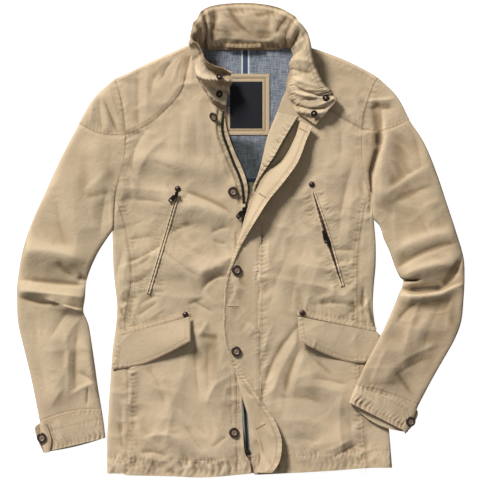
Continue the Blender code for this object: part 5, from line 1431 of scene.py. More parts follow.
def make_hanger():
    """The loop that the jacket hangs by, across the inside of the collar's base."""
    x0, x1 = HANGER["x"]
    y = HANGER["y"]
    # The loop gets painted shade, much darker, as it lies inside the collar.
    item = strip("hanger_loop", ((x0, y), ((x0 + x1) / 2, y - 1.5), (x1, y)), HANGER["width"], 1.0,
                 ["collar_inner", "back_lining"], 60, "Jacket cloth", 0.3, 8, shade=-0.9)
    keep_sewn(item, "collar_inner", "hanger_loop")


# ---------------------------------------------------------------- placket
def folded(rows, height, lift_of, thickness, radius, counts=(30, 9, 22), relief=None):
    """Outer and inner grids of cloth that runs from a seam to a fold and back over itself.

    rows are seam, fold and free edge in plan. The lower leg lies at height(x, y), the fold is a
    half turn of the given radius, and the upper leg rises by lift * (1.25 t - 0.25 t * t). Where
    the upper leg is narrow, radius and lift are smaller."""
    low, turn, high = counts
    seam, fold, free = rows[:, None, :2], rows[:, None, 2:4], rows[:, None, 4:6]
    reach = np.linalg.norm(free - fold, axis=2, keepdims=True)
    way = unit(free - fold)
    radius = radius * (0.42 + 0.58 * smooth((reach - 8) / 14))
    pivot = fold + way * radius
    radius = radius[..., 0]
    t = np.linspace(0, 0.97, low)[None, :, None]
    leg = seam + (pivot - seam) * t
    leg_z = height(leg[..., 0], leg[..., 1])
    end = blurred(leg_z[:, -1:], (9, 0.1), False)
    leg_z = leg_z + (end - leg_z) * smooth((t[..., 0] - 0.7) / 0.27)
    angle = np.radians(np.linspace(-72, 72, turn))[None, :]
    bend = pivot - way * (radius * np.cos(angle))[..., None]
    bend_z = end + radius * (1 + np.sin(angle))
    t = np.linspace(0, 1, high + 1)[None, 1:, None]
    back = pivot + (free - pivot) * t
    lift_of = lift_of[:, None] * smooth((reach[..., 0] - 4) / 18)
    back_z = end + 2 * radius + lift_of * (1.25 * t[..., 0] - 0.25 * t[..., 0] ** 2)
    if relief is not None:
        back_z = back_z + relief(back[..., 0], back[..., 1], t[..., 0])
    line = np.concatenate((lift(leg, leg_z), lift(bend, bend_z), lift(back, back_z)), axis=1)
    normal = surface_normals(line)
    return line + normal * thickness / 2, line - normal * thickness / 2


def flap_height(x, y):
    """Height of the middle of the storm flap's lower leg over the fronts."""
    rough = 0.8 * placed_creases(BODY_CREASES, x, y) + 1.6 * fabric_relief(x, y, 12)
    rough = rough + 2.2 * crumple(x, 0.7 * y, 26, 15) + 1.0 * crumple(x, y, 12, 16)
    table = resample(STORM_FLAP, 80)
    seam = table[::-1]
    seam = seam[seam[:, 1] < 70]
    free = np.column_stack((table[:, 2], table[:, 3]))
    free = free[(free[:, 1] < 60)]
    ripple, _ = sewn([(np.column_stack((seam[:, 0] - 3.5, seam[:, 1])), 9, 7.4, 1.1, 0, 0.5),
                      (free + (6, 0), 8, 7.2, 1.1, 0, 0.35)], x, y)
    rough = rough + ripple
    to_seam = np.interp(y, table[::-1, 1], table[::-1, 0]) - x
    sunk = 1.5 * np.exp(-(to_seam / 5) ** 2) * smooth((60 - y) / 20)
    return plain_body(x, y) + THIN / 2 + 0.2 - sunk + 0.5 * (rough + np.sqrt(rough ** 2 + 1.5))


def make_storm_flap():
    """The storm flap: seam, face, fold and turned-back edge."""
    table = resample(STORM_FLAP, 330)
    run = run_of(table[:, 4:6])
    wave = puckers(run, 0 * run, 9.5, 13)[:, None]
    sway = 3.0 * noise(run, run * 0, 40, 62)[:, None]
    long_wave = (smooth((run - 60) / 60) * smooth((260 - run) / 60))[:, None]
    reach = np.linalg.norm(table[:, 4:6] - table[:, 2:4], axis=1)
    narrow = (1 - smooth((reach - 12) / 10)) * smooth((run - 100) / 60)
    hem = (narrow * puckers(run, 0 * run, 7.0, 21) * (1 + 0.5 * noise(run, run * 0, 30, 64)))[:, None]
    narrow = narrow[:, None]

    def relief(x, y, t):
        """Ripples of the narrow hem, creases of the wide lower end, and a wavy free edge."""
        strength = (0.9 + 0.5 * noise(x, y, 40, 63)) * (1 - 0.6 * smooth((-70 - y) / 70))
        lower = smooth((-150 - y) / 40)
        rise = 0.6 * hem * (0.35 + 2.6 * t * (1 - t)) - 0.25 * narrow * np.exp(-((t - 0.85) / 0.1) ** 2)
        rise = rise + lower * creases(BODY_CREASES, x, y) + strength * wave * t ** 5 * 0.7
        return rise + sway * t * (0.4 + long_wave) + fabric_relief(x, y, 14) * (0.9 + 0.5 * lower) * t

    outer, inner = folded(table, flap_height, table[:, 6], THIN, 1.5, (44, 9, 26), relief)
    across = np.concatenate((np.linalg.norm(np.diff(outer, axis=1), axis=2).cumsum(axis=1),
                             np.zeros((len(outer), 1))), axis=1)
    mask = np.exp(-((across[:, -2:-1] - across - 8) / 1.2) ** 2) + np.exp(-((across - 3.5) / 1.2) ** 2)
    # The storm flap gets painted shade, a little darker all over.
    cloth_piece("storm_flap", outer, inner, seam_shade=np.clip(mask, 0, 1),
                shade=-0.15)


def make_lapel():
    """The left front's turned-back edge: facing, zip tape and teeth."""
    table = resample(LAPEL, 110)
    roll, edge = table[:, :2], table[:, 2:4]
    way = unit(edge - roll)
    first = roll + way * 1.0
    rows = np.hstack((first + way * 5.5, first, edge))

    def height(x, y):
        return body_top(x, y) + THIN / 2 + 2.0

    def relief(x, y, t):
        ripple, _ = sewn([(edge - way * 5, 7, 8, 0.7, 0, 0.3)], x, y)
        return ripple + fabric_relief(x, y, 16) * t

    outer, inner = folded(rows, height, table[:, 4], THIN, 1.2, (6, 7, 24), relief)
    cloth_piece("facing_left", outer, inner)
    tip = (outer[:, -1] + inner[:, -1]) / 2
    out = np.column_stack((way, np.zeros(len(way))))
    teeth("zip_chain_left", tip + out * 2.2 + (0, 0, 0.1), out, 1)
    tape = np.stack([tip + out * s - (0, 0, 0.5) for s in (-3.0, -1.0, 1.0, 2.0)], axis=1)
    keep_sewn(shell("zip_tape_left", tape + (0, 0, 0.5), tape, bpy.data.materials["Jacket tape"]), "facing_left")


def bar(*sections):
    """Points and quads of a small bar along X, from sections of an X, a width and a height."""
    corners = ((-0.5, -0.5), (0.5, -0.5), (0.5, 0.5), (-0.5, 0.5))
    last = 4 * len(sections)
    quads = [(i + j, i + (j + 1) % 4, i + 4 + (j + 1) % 4, i + 4 + j) for i in range(0, last - 4, 4) for j in range(4)]
    return (np.array([(x, y * wide, z * high) for x, wide, high in sections for y, z in corners]),
            np.array(quads + [(3, 2, 1, 0), tuple(range(last - 4, last))]))


TOOTH = bar((-0.5, 0.8, 0.7), (0.1, 0.75, 0.8), (0.25, 1.1, 1.0), (0.5, 0.8, 0.7))   # a neck and a wider head
STITCH = bar((-0.5, 0.45, 0.45), (0.0, 1.0, 1.0), (0.5, 0.45, 0.45))                 # thick in the middle
TOOTH_WIDE, TOOTH_HIGH = 1.25, 1.7


def teeth(name, line, out, sides, pitch=2.1, reach=3.6, material="Jacket gunmetal"):
    """Zip teeth along a line of points: small blocks that reach to one or both sides."""
    run = run_of(line)
    at = np.arange(pitch / 2, run[-1], pitch)
    spots = read_at(at, run, line)
    way = unit(read_at(at, run, out))
    ahead = unit(np.gradient(spots, axis=0))
    up = np.cross(way, ahead)
    up *= np.sign(up[:, 2:3])
    if sides == 2:
        spots = np.concatenate((spots + way * reach / 7, spots - way * reach / 7 + ahead * pitch / 2))
        way = np.concatenate((way, -way))
        ahead, up = np.concatenate((ahead, ahead)), np.concatenate((up, up))
    item = repeated(name, *TOOTH, spots, way * reach, ahead * TOOTH_WIDE, up * TOOTH_HIGH,
                    bpy.data.materials[material])
    return keep(item, "metal", name)


def make_zip():
    """The chains of the front zip: open on the right front, closed below, and the stop."""
    line = spline(ZIP_CHAIN["right"], 120)
    spots, _ = drape(["front_right"], line[:, 0], line[:, 1], blur=4)
    out = np.column_stack((shifted(line, 1.0) - line, np.zeros(len(line))))
    teeth("zip_chain_right", spots + (0, 0, 1.0), out, 1, reach=4.6)
    item = strip("zip_tape_right", shifted(line, -3.4)[::10], 6.4, 0.5, ["front_right"], 100, "Jacket tape", 0.1, 4)
    keep_sewn(item, "front_right")
    line = spline(ZIP_CHAIN["closed"], 220)
    middle = lift(line, plain_body(line[:, 0], line[:, 1]) - 0.2)
    out = np.tile((1.0, 0.0, 0.0), (len(line), 1))
    teeth("zip_chain_closed", middle, out, 2, 2.6, 3.2)
    tape = np.stack([middle + out * s - (0, 0, 2.0) for s in (-4.4, -2.0, 0.0, 3.0, 6.0)], axis=1)
    item = shell("zip_tape_closed", tape + (0, 0, 0.5), tape, bpy.data.materials["Jacket zip tape"])
    keep_sewn(item, "front_right")
    x, y = ZIP_STOP
    plate("zip_stop", ((-8, -2), (8, -2.4), (8.4, 2.0), (-7.6, 2.4)), 2.0, 0.5, (x, y, float(plain_body(x, y)) + 0.4),
          0.0)


def plate(name, outline, thick, bevel, spot, turn, body=BODY, tilt=0.0, hole=None, added=False):
    """A bevelled metal plate from its outline, with an optional hole, tilted about Y, turned about
    Z and laid at spot. An added one stands for no node."""
    def rounded(points, count=40):
        """A closed outline read at even steps."""
        p = np.asarray(points, float)
        return even(np.vstack((p, p[:1])), count + 1)[:-1]

    edge = rounded(outline)
    middle = edge.mean(axis=0)
    size = np.linalg.norm(edge - middle, axis=1, keepdims=True)

    def at_height(loop, z):
        return np.column_stack((loop, np.full(len(loop), z)))

    def ring(inwards, z):
        """The outline moved inwards, at a height."""
        return at_height(middle + (edge - middle) * (1 - inwards / np.maximum(size, 1e-3)), z)

    def grown(loop, times, z):
        """A loop scaled about its own middle, at a height."""
        return at_height(loop.mean(axis=0) + (loop - loop.mean(axis=0)) * times, z)

    top, low = thick / 2, -thick / 2
    rings = [ring(bevel, low), ring(0, low + bevel), ring(0, top - bevel), ring(bevel, top)]
    if hole is None:
        rings = [grown(edge, 0.02, low), *rings, grown(edge, 0.02, top)]
    else:
        inner = rounded(hole)
        inner = np.roll(inner, -int(np.argmin(np.linalg.norm(inner - edge[0], axis=1))), axis=0)
        rings += [grown(inner, 1.12, top), grown(inner, 1.0, top - bevel), grown(inner, 1.0, low + bevel),
                  grown(inner, 1.12, low), rings[0]]
    grid = np.array(rings)
    cos, sin = math.cos(tilt), math.sin(tilt)
    x, y = grid[..., 0] * cos - grid[..., 2] * sin, grid[..., 1]
    z = grid[..., 0] * sin + grid[..., 2] * cos
    cos, sin = math.cos(turn), math.sin(turn)
    points = np.stack((spot[0] + x * cos - y * sin, spot[1] + x * sin + y * cos, spot[2] + z), axis=-1)
    index = np.arange(points[..., 0].size).reshape(points.shape[:2])
    if hole is None:
        quads = np.vstack([ring_quads(index)] + end_quads(index))
    else:
        index[-1] = index[0]
        quads = ring_quads(index)
        points = points[:-1]
    flat = points.reshape(-1, 3)
    item = finish_mesh(name, flat, quads, np.zeros((len(quads), 4, 2)), np.zeros(len(flat)),
                       bpy.data.materials["Jacket gunmetal"], 30.0)
    return keep(item, "metal", *([] if added else [name]), body=body)


# Hinge axis and lie of each pull: spot, way of the pull and of the zip in plan, and body.
PULLS = {
    "front": ((7.2, 108.0, 12.75), (-0.6607, -0.7507), (0.05, -1.0), "front_pull"),
    "chest_right": ((-114.0, 136.0, 19.81), (-0.6816, -0.7317), (-0.286, -0.958), "chest_right_pull"),
    "chest_left": ((151.0, 66.0, 16.63), (0.3011, -0.9536), (0.296, -0.955), "chest_left_pull"),
}


def pull_tilt(name, axis_z):
    """How far a pull's far end rises from its hinge, in radians, from the solid's height."""
    low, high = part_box(f"{name}_pull")
    rise = 2 * ((low.z + high.z) / 2 / MM - axis_z) / (PULL["length"] - 0.9)
    return math.asin(max(-0.5, min(0.5, rise)))


def both_sides(half):
    """A closed outline from its half at negative Y."""
    return half + [(x, -y) for x, y in reversed(half)]


def make_pulls():
    """Three sliders with their ears, and the pull tabs that swing between them."""
    length, width, height = SLIDER["length"], SLIDER["width"], SLIDER["height"]
    slider = both_sides([(-length / 2, -1.6), (-length / 2 + 1.5, -width / 2), (length / 2 - 1, -width / 2),
                         (length / 2, -2.2)])
    ear = both_sides([(-1.6, -0.6), (1.6, -0.6)])
    long, wide, window = PULL["length"], PULL["width"], PULL["window"]
    tab = both_sides([(-0.9, -1.3), (2.6, -1.3), (5.5, -wide / 2), (long - 1.5, -wide / 2), (long, -wide / 2 + 1.5)])
    hole = both_sides([(long - 5.2, -0.9), (long - 4.6, -window / 2), (long - 2.4, -window / 2)])
    for name, (axis, way, zip_way, body) in PULLS.items():
        base = axis[2] - PIN_LIFT - height
        turn = math.atan2(way[1], way[0])
        plate(f"{name}_slider", slider, height, 0.5, (axis[0], axis[1], base + height / 2),
              math.atan2(zip_way[1], zip_way[0]))
        for number, aside in enumerate((-2.4, 2.4)):
            spot = (axis[0] - math.sin(turn) * aside, axis[1] + math.cos(turn) * aside, base + height + 1.2)
            plate(f"{name}_ear_{number + 1}", ear, 3.2, 0.3, spot, turn, added=True)
        plate(f"{name}_pull", tab, PULL["thick"], 0.3, axis, turn, body, pull_tilt(name, axis[2]), hole)


# ---------------------------------------------------------------- pockets
CHEST_GAPE = {"right": 0.1, "left": 2.6}          # how far a chest pocket's lips part in the middle
CHEST_TEETH_RISE = {"right": -0.7, "left": 0.6}   # of its teeth over the cloth


def flap_borders(side):
    """Bottom, top, inner and outer borders of a pocket flap."""
    p = POCKET_FLAP[side]
    if side == "right":
        return p[2:], p[1::-1], p[2:0:-1], (p[6], p[0])
    return (p[7], *p[6:2:-1]), p[:2], (p[7], p[0]), (p[3], p[2], p[1])


def flap_border(side):
    """The free edge of a pocket flap: inner end, bottom and outer end."""
    bottom, _, inner, outer = flap_borders(side)
    return join(spline(inner, 20)[::-1], spline(bottom, 60), spline(outer, 20))


def make_chest_pocket(side, front):
    """The tape, the teeth and the two lips of a chest pocket."""
    top, bottom = (np.array(end, float) for end in CHEST_ZIP[side])
    reach = np.linalg.norm(bottom - top)
    way = (bottom - top) / reach
    across = np.array((-way[1], way[0]))
    run = np.linspace(6.0, reach, 14)
    middle = top + run[:, None] * way
    line = spline(middle, 120)
    # The tape in the opening is drawn dark: painted shade.
    keep_sewn(strip(f"chest_tape_{side}", middle, 8.0, 0.3, [front], 120, "Jacket pocket tape in painted shade", 0.0, 6), front)
    spots, _ = drape([front], line[:, 0], line[:, 1], blur=6)
    teeth(f"chest_zip_{side}", spots + (0, 0, CHEST_TEETH_RISE[side]), np.tile((*across, 0.0), (len(line), 1)), 2,
          1.7, 1.9, "Jacket rivet")
    gape = 2.1 + CHEST_GAPE[side] * np.sin(math.pi * run / reach) ** 1.5
    node = f"chest_welt_{side}"
    for name, nodes, aside in ((node, [node], -1), (f"{node}_b", [], 1)):
        # The lips get the worn tint with painted highlight, a little lighter.
        item = strip(name, middle + across * (aside * gape)[:, None], 3.2, 0.9, [front], 120, "Jacket cloth", 0.2, 4,
                     crown=0.8, shade=0.2)
        keep_sewn(item, front, *nodes)


def make_lower_pocket(side, front):
    """The flap of a lower pocket, with the welt over it."""
    bottom_line, top_line, inner_line, outer_line = flap_borders(side)
    columns, rows = 72, 34
    plan = patch(even(spline(bottom_line, 60), columns), even(spline(top_line, 60), columns),
                 even(spline(inner_line, 40), rows), even(spline(outer_line, 40), rows))
    x, y = plan[..., 0], plan[..., 1]
    corner_x, corner_y, rise = FLAP_LIFT[side]
    near = np.exp(-((x - corner_x) / 62) ** 2 - ((y - corner_y) / 34) ** 2)
    below = np.maximum(body_top(x, y), body_top(x * FLAP_HOLD, y))
    run, off = along(flap_border(side), x, y)
    off = np.abs(off)
    rough = (0.8 * puckers(run, off, 8.5, 11) * np.exp(-((off - 5) / 5) ** 2) + 1.5 * fabric_relief(x, y, 22)
             - 0.5 * np.exp(-((off - 9) / 1.2) ** 2) - 0.35 * np.exp(-((off - 2.5) / 1.0) ** 2))
    rough = 0.5 * (rough + np.sqrt(rough ** 2 + 0.8))
    upper = lift(plan, below + 3 * GAP + THIN + rise * near + rough - 0.8 * np.exp(-off / 0.8))
    sewn_off = np.abs(along(join(spline(inner_line, 20)[::-1], spline(bottom_line, 60)), x, y)[1])
    mask = 0.35 * np.exp(-((sewn_off - 9) / 1.2) ** 2) + 0.7 * np.exp(-((sewn_off - 2.5) / 1.0) ** 2)
    cloth_piece(f"pocket_flap_{side}", upper, upper - (0, 0, THIN), seam_shade=np.clip(mask, 0, 1))
    item = strip(f"pocket_welt_{side}", POCKET_WELT[side], 7.0, 0.9, [front, f"side_panel_{side}"], 80,
                 "Jacket cloth", 0.1, 6)
    keep_sewn(item, front, f"pocket_welt_{side}")


def make_pockets():
    """The chest pockets and the lower pockets of both fronts."""
    for side in SIDES:
        make_chest_pocket(side, f"front_{side}")
        make_lower_pocket(side, f"front_{side}")


# ---------------------------------------------------------------- buttons and tabs
TAB_SIDES = {
    "right": (((-361, -276), (-369, -284), (-364, -305), (-353, -329)),
              ((-349, -274), (-340, -300), (-340, -315), (-342, -327))),
    "left": (((291, -242), (300, -262), (296, -274), (290, -284)),
             ((295, -235), (319, -253), (313, -275), (297, -294))),
}


def make_cuff_tab(side):
    """The tab that is buttoned over a cuff's outer edge."""
    first, last = CUFF[side][0], CUFF[side][-1]
    start = np.array(first[:2], float)
    way = np.array(last[:2], float) - start
    way /= np.linalg.norm(way)
    inward = np.array((way[1], -way[0]))
    inward *= -np.sign(inward[0]) * SIGN[side]
    a, b = (even(spline(line, 40), 34) for line in TAB_SIDES[side])
    share = np.linspace(0, 1, 20)[None, :, None]
    plan = a[:, None] * (1 - share) + b[:, None] * share
    x, y = plan[..., 0], plan[..., 1]
    near = (x - start[0]) * inward[0] + (y - start[1]) * inward[1]
    half = LAID / 2
    tall = LAID + ridges(SLEEVE_FOLDS[side], x, y)
    z = sleeve_ground(side, x, y) + half + (tall - half) * rolled(near + 1.5) + TAB_CLEAR[side] + THIN + 1.2
    edge = np.minimum(np.minimum(share[..., 0], 1 - share[..., 0]) * 22, 20)
    z = z + 0.6 * crumple(x, y, 14, 44) - 0.7 * np.exp(-edge / 0.9) - 0.3 * np.exp(-((edge - 3) / 1.0) ** 2)
    upper = lift(plan, z)
    mask = np.exp(-((edge - 3) / 1.0) ** 2) + 0 * z
    cloth_piece(f"cuff_tab_{side}", upper, upper - (0, 0, THIN), seam_shade=mask)


BUTTON_LEAN = {"button_1": (-1.7, -1.0, 0.0)}    # pulled aside on its thread
LEAN_RISE = 3.0                                  # and how far that lifts it


def make_buttons():
    """Front buttons, and the cuff tabs with theirs, each seated on what carries it."""
    r = BUTTON_RADIUS
    profile = ((0, 0), (2.2, 0), (2.4, 1.4), (r - 2.0, 1.5), (r - 0.7, 2.1), (r, 2.7), (r - 0.1, 3.2), (r - 0.6, 3.7),
               (r - 1.5, 4.1), (r - 3.0, 3.9), (4.8, 3.3), (4.0, 2.7), (2.4, 2.8), (1.0, 3.2), (0, 3.25))
    spots = [(f"button_{n}", *spot, ["front_right", "storm_flap", "front_left"])
             for n, spot in enumerate(BUTTONS, start=1)]
    for side in SIDES:
        make_cuff_tab(side)
        spots.append((f"cuff_button_{side}", *CUFF_BUTTONS[side], [f"cuff_tab_{side}"]))
    for name, x, y, below in spots:
        ring = [(x + 5 * math.cos(a), y + 5 * math.sin(a)) for a in np.linspace(0, 6.28, 9)]
        found, normals = drape(below, [p[0] for p in ring], [p[1] for p in ring])
        normal = normals.mean(axis=0) + (0, 0, 1.0) + BUTTON_LEAN.get(name, (0, 0, 0))
        spot = (x, y, found[:, 2].mean() + 0.2 + (LEAN_RISE if name in BUTTON_LEAN else 0))
        keep(lathe(name, profile, 48, "Jacket button", spot, normal, "Jacket button centre", 10), "button", name)


def make_snaps():
    """The caps of the collar's snaps."""
    r = SNAP_RADIUS
    profile = ((0, -1.0), (r - 0.8, -1.0), (r, 0.4), (r - 0.3, 1.3), (r - 1.0, 1.8), (r - 1.9, 1.6), (r - 2.4, 0.9),
               (2.4, 0.8), (1.9, 1.5), (1.0, 1.9), (0, 1.95))
    for name, (x, y) in SNAPS.items():
        found, normals = drape(["collar_outer", "collar_inner"], [x, x + 2, x - 2, x, x], [y, y, y, y + 2, y - 2])
        item = lathe(f"snap_{name}", profile, 32, "Jacket gunmetal", (x, y, found[:, 2].max() + 0.6),
                     normals.mean(axis=0) + (0, 0, 0.6), "Jacket button centre", 7)
        keep(item, "metal", f"snap_{name}")


def make_rivets():
    """The domed rivets at the ends of the pockets."""
    profile = ((0, -0.6), (5.0, -0.6), (5.4, 0.4), (4.9, 1.1), (3.6, 1.3), (3.0, 1.9), (1.6, 2.5), (0, 2.7))
    for name, (x, y) in RIVETS.items():
        side = name.split("_")[1]
        names = [f"front_{side}", f"chest_welt_{side}", f"chest_welt_{side}_b", f"pocket_welt_{side}"]
        turn = np.linspace(0, 2 * math.pi, 13)
        found, _ = drape(names, x + 4.6 * np.cos(turn), y + 4.6 * np.sin(turn))
        item = lathe(f"rivet_{name}", profile, 32, "Jacket rivet", (x, y, found[:, 2].max() + 0.1))
        keep(item, "rivet", f"rivet_{name}")


# ---------------------------------------------------------------- stitching
def stitch_rows():
    """Rows of stitches: group, path and the pieces that it lies on."""
    for side in SIDES:
        sign = SIGN[side]
        front, yoke = f"front_{side}", f"front_yoke_{side}"
        seam = spline(YOKE_SEAM[side], 60)
        for off in (2.0, 8.0):
            yield "body", shifted(seam, -sign * off), [yoke, front]
        shoulder = spline(SHOULDER[side], 60)
        for off in (5.0, 10.0):
            yield "body", shifted(shoulder, -sign * off)[2:-2], [yoke]
        arm = join(armhole_upper(side, np.linspace(0.06, 1, 30)), spline(ARMHOLE_LOWER[side], 40))
        for off in (3.0, 8.0):
            yield "body", arm - (sign * off, 0), [yoke, front]
        for off in (2.0, 8.0):
            yield "body", side_line(side, off), [front]
        cap = cap_seam(side, np.linspace(0.12, 1, 40))
        for off in (2.5, 8.0):
            yield "sleeves", cap + (0, off), [f"sleeve_cap_{side}"]
        yield "sleeves", shifted(cuff_seam(side), sign * 2.5)[1:-1], [f"cuff_{side}"]
        mouth = np.array(CUFF[side][-1], float)
        yield "sleeves", np.linspace(mouth[:2], mouth[2:], 20)[1:-1] + (0, 6), [f"cuff_{side}"]
        for off in (-9.0, 9.0):
            yield "pockets", shifted(spline(CHEST_ZIP[side], 40), off), [front]
        yield "pockets", shifted(spline(POCKET_WELT[side], 30), 5.5), [front]
        border = flap_border(side)
        inwards = np.sign(along(border, np.array([sign * 160.0]), np.array([-130.0]))[1][0])
        for off in (2.5, 9.0):
            yield "pockets", shifted(border, inwards * off)[6:-6], [f"pocket_flap_{side}"]
    for rise in (28.0, 31.0):
        yield "body", hem_line(rise), ["front_right", "front_left", "side_panel_right", "side_panel_left"]
    for line, count in (((*ZIP_BAND["edge"], (-4, -330)), 80), (((-4, -194), (-3.5, -260), (-1.5, -326)), 40),
                        (ZIP_BAND["side"], 40)):
        yield "body", spline(line, count), ["front_right"]
    table = resample(STORM_FLAP, 200)
    seam = table[(table[:, 1] < 72) & (table[:, 1] > -360), :2]
    fold, free = table[:, 2:4], table[:, 4:6]
    for path in (seam - (3.5, 0), seam - (9.0, 0), (free - unit(free - fold) * 7)[4:80], (fold + (6, 0))[78:150]):
        yield "placket", path, ["storm_flap"]
    yield "placket", shifted(spline(OPENING["right"], 60), -9.0), ["front_right"]


def thread(name, rows, length, wide, high, material="Jacket thread"):
    """One mesh of small bars from rows of their spots, ways and normals."""
    spots, ahead, normals = (np.concatenate(p) for p in zip(*rows))
    item = repeated(name, *STITCH, spots, ahead * length, np.cross(normals, ahead) * wide, normals * high,
                    bpy.data.materials[material])
    keep(item, "cloth")


def make_stitches():
    """Rows of thread along the seams, one mesh for each group."""
    sizes = bpy.context.scene.jacket_sizes
    pitch, thick = sizes.stitch_pitch / MM, sizes.stitch_thick / MM
    groups = {}
    for group, path, names in stitch_rows():
        run = run_of(path)
        plan = read_at(np.arange(pitch / 2, run[-1], pitch), run, path)
        spots, normals = drape(names, plan[:, 0], plan[:, 1])
        groups.setdefault(group, []).append((spots + normals * 0.1, unit(np.gradient(spots, axis=0)), normals))
    for group, rows in groups.items():
        thread(f"stitches_{group}", rows, pitch * STITCH_SHARE, thick, thick)


STITCH_SHARE = 0.72      # of the pitch that a stitch's thread shows
# Buttonholes of the storm flap.
BUTTONHOLES = (
    # x, y, angle in degrees
    (113.9, 251.3, -28),
    (41.4, 133.2, -32),
    (-12.6, -65.9, 0),
    (37.0, -281.0, 28),
)


def make_buttonholes():
    """Worked buttonholes on the storm flap: a slit of painted shadow between two rows of thread."""
    threads, slits = [], []
    for x, y, angle in BUTTONHOLES:
        way = np.array((math.cos(math.radians(angle)), math.sin(math.radians(angle))))
        across = np.array((-way[1], way[0]))
        for rows, aside, reach, count, rise, ahead in ((threads, -1.3, 10, 26, 0.15, across),
                                                       (threads, 1.3, 10, 26, 0.15, across),
                                                       (slits, 0, 7.5, 7, 0.1, way)):
            plan = np.array((x, y)) + np.linspace(-reach, reach, count)[:, None] * way + aside * across
            spots, normals = drape(["storm_flap"], plan[:, 0], plan[:, 1])
            rows.append((spots + normals * rise, np.tile((*ahead, 0.0), (count, 1)), normals))
    thread("buttonhole_threads", threads, 2.0, 0.85, 0.6)
    thread("buttonhole_slits", slits, 4.6, 1.1, 0.7, "Jacket shadow")


# ---------------------------------------------------------------- materials
def feed(tree, socket, value):
    """Links an output to an input, or sets the input to a value."""
    if isinstance(value, bpy.types.NodeSocket):
        tree.links.new(value, socket)
    else:
        socket.default_value = value


def put(tree, kind, settings=None, **links):
    """Adds a node, sets its options, and links or sets its inputs, named or by number (i0, i1)."""
    made = tree.nodes.new(kind)
    for key, value in (settings or {}).items():
        setattr(made, key, value)
    for key, value in links.items():
        numbered = key[0] == "i" and key[1:].isdigit()
        feed(tree, made.inputs[int(key[1:]) if numbered else key.replace("_", " ")], value)
    return made


def calc(tree, operation, *values):
    """A math node's output."""
    inputs = {f"i{number}": value for number, value in enumerate(values)}
    return put(tree, "ShaderNodeMath", {"operation": operation}, **inputs).outputs[0]


def blend(tree, factor, first, second, kind="MIX"):
    """A colour mix node's output; first and second are outputs or colours."""
    first, second = (c if isinstance(c, bpy.types.NodeSocket) else (*c[:3], 1) for c in (first, second))
    return put(tree, "ShaderNodeMix", {"data_type": "RGBA", "blend_type": kind}, i0=factor, i6=first,
               i7=second).outputs[2]


def spread(tree, value, low, high, to_low=0.0, to_high=1.0):
    """A map range node's output, clamped."""
    return put(tree, "ShaderNodeMapRange", {"interpolation_type": "SMOOTHSTEP"}, Value=value, From_Min=low,
               From_Max=high, To_Min=to_low, To_Max=to_high).outputs[0]


def cloud(tree, place, scale, detail, roughness, distortion=0.0):
    """A noise texture's output at a place."""
    return put(tree, "ShaderNodeTexNoise", Vector=place, Scale=scale, Detail=detail, Roughness=roughness,
               Distortion=distortion).outputs[0]


def mark(tree, name):
    """A mesh attribute's output."""
    return put(tree, "ShaderNodeAttribute", {"attribute_name": name}).outputs["Fac"]


def bump(tree, shader, height, distance, strength=0.5):
    """Fine relief on a shader's normal."""
    made = put(tree, "ShaderNodeBump", Height=height, Distance=distance, Strength=strength)
    tree.links.new(made.outputs[0], shader.inputs["Normal"])


def new_group(name, inputs, outputs):
    """A node group with its inputs and number outputs; returns the tree and its two end nodes."""
    tree = bpy.data.node_groups.new(name, "ShaderNodeTree")
    for label, kind, value in inputs:
        socket = tree.interface.new_socket(label, in_out="INPUT", socket_type=kind)
        if value is not None:
            socket.default_value = value
    for label in outputs:
        tree.interface.new_socket(label, in_out="OUTPUT", socket_type="NodeSocketFloat")
    return tree, tree.nodes.new("NodeGroupInput"), tree.nodes.new("NodeGroupOutput")


def use(tree, name, **links):
    """A group node of a node group, with its inputs linked or set."""
    return put(tree, "ShaderNodeGroup", {"node_tree": bpy.data.node_groups[name]}, **links)


def make_weave_group():
    """Plain weave from UVs in metres: height and thread tone at a count of threads to a metre."""
    given = [("UV", "NodeSocketVector", None), ("Threads", "NodeSocketFloat", 1400.0)]
    tree, given, out = new_group("Plain weave", given, ["Height", "Tone"])
    parts = put(tree, "ShaderNodeSeparateXYZ", Vector=given.outputs["UV"])
    turns = calc(tree, "MULTIPLY", given.outputs["Threads"], math.pi)
    waves = [calc(tree, "SINE", calc(tree, "MULTIPLY", parts.outputs[k], turns)) for k in (0, 1)]
    tree.links.new(calc(tree, "MULTIPLY", *waves), out.inputs["Height"])
    tree.links.new(cloud(tree, given.outputs["UV"], 420.0, 3.0, 0.7), out.inputs["Tone"])


def make_tone_group():
    """Uneven dye and washed wear: broad warm and cool areas, mottling and crinkles."""
    tree, given, out = new_group("Washed tone", [("Place", "NodeSocketVector", None)],
                                 ["Broad", "Cool", "Mottle", "Crinkle"])
    place = given.outputs["Place"]
    moved = put(tree, "ShaderNodeVectorMath", {"operation": "ADD"}, i0=place, i1=(3.1, 1.7, 0.4)).outputs[0]
    for name, where, scale, detail, roughness, low, high in (("Broad", place, 7.0, 3.0, 0.55, 0.35, 0.65),
                                                             ("Cool", moved, 4.0, 2.0, 0.5, 0.42, 0.66),
                                                             ("Mottle", place, 90.0, 4.0, 0.7, 0.3, 0.7)):
        tree.links.new(spread(tree, cloud(tree, where, scale, detail, roughness), low, high), out.inputs[name])
    ridge = calc(tree, "ABSOLUTE", calc(tree, "SUBTRACT", cloud(tree, place, 70.0, 3.0, 0.55, 0.6), 0.5))
    tree.links.new(calc(tree, "SUBTRACT", 1.0, calc(tree, "MULTIPLY", ridge, 6.0)), out.inputs["Crinkle"])


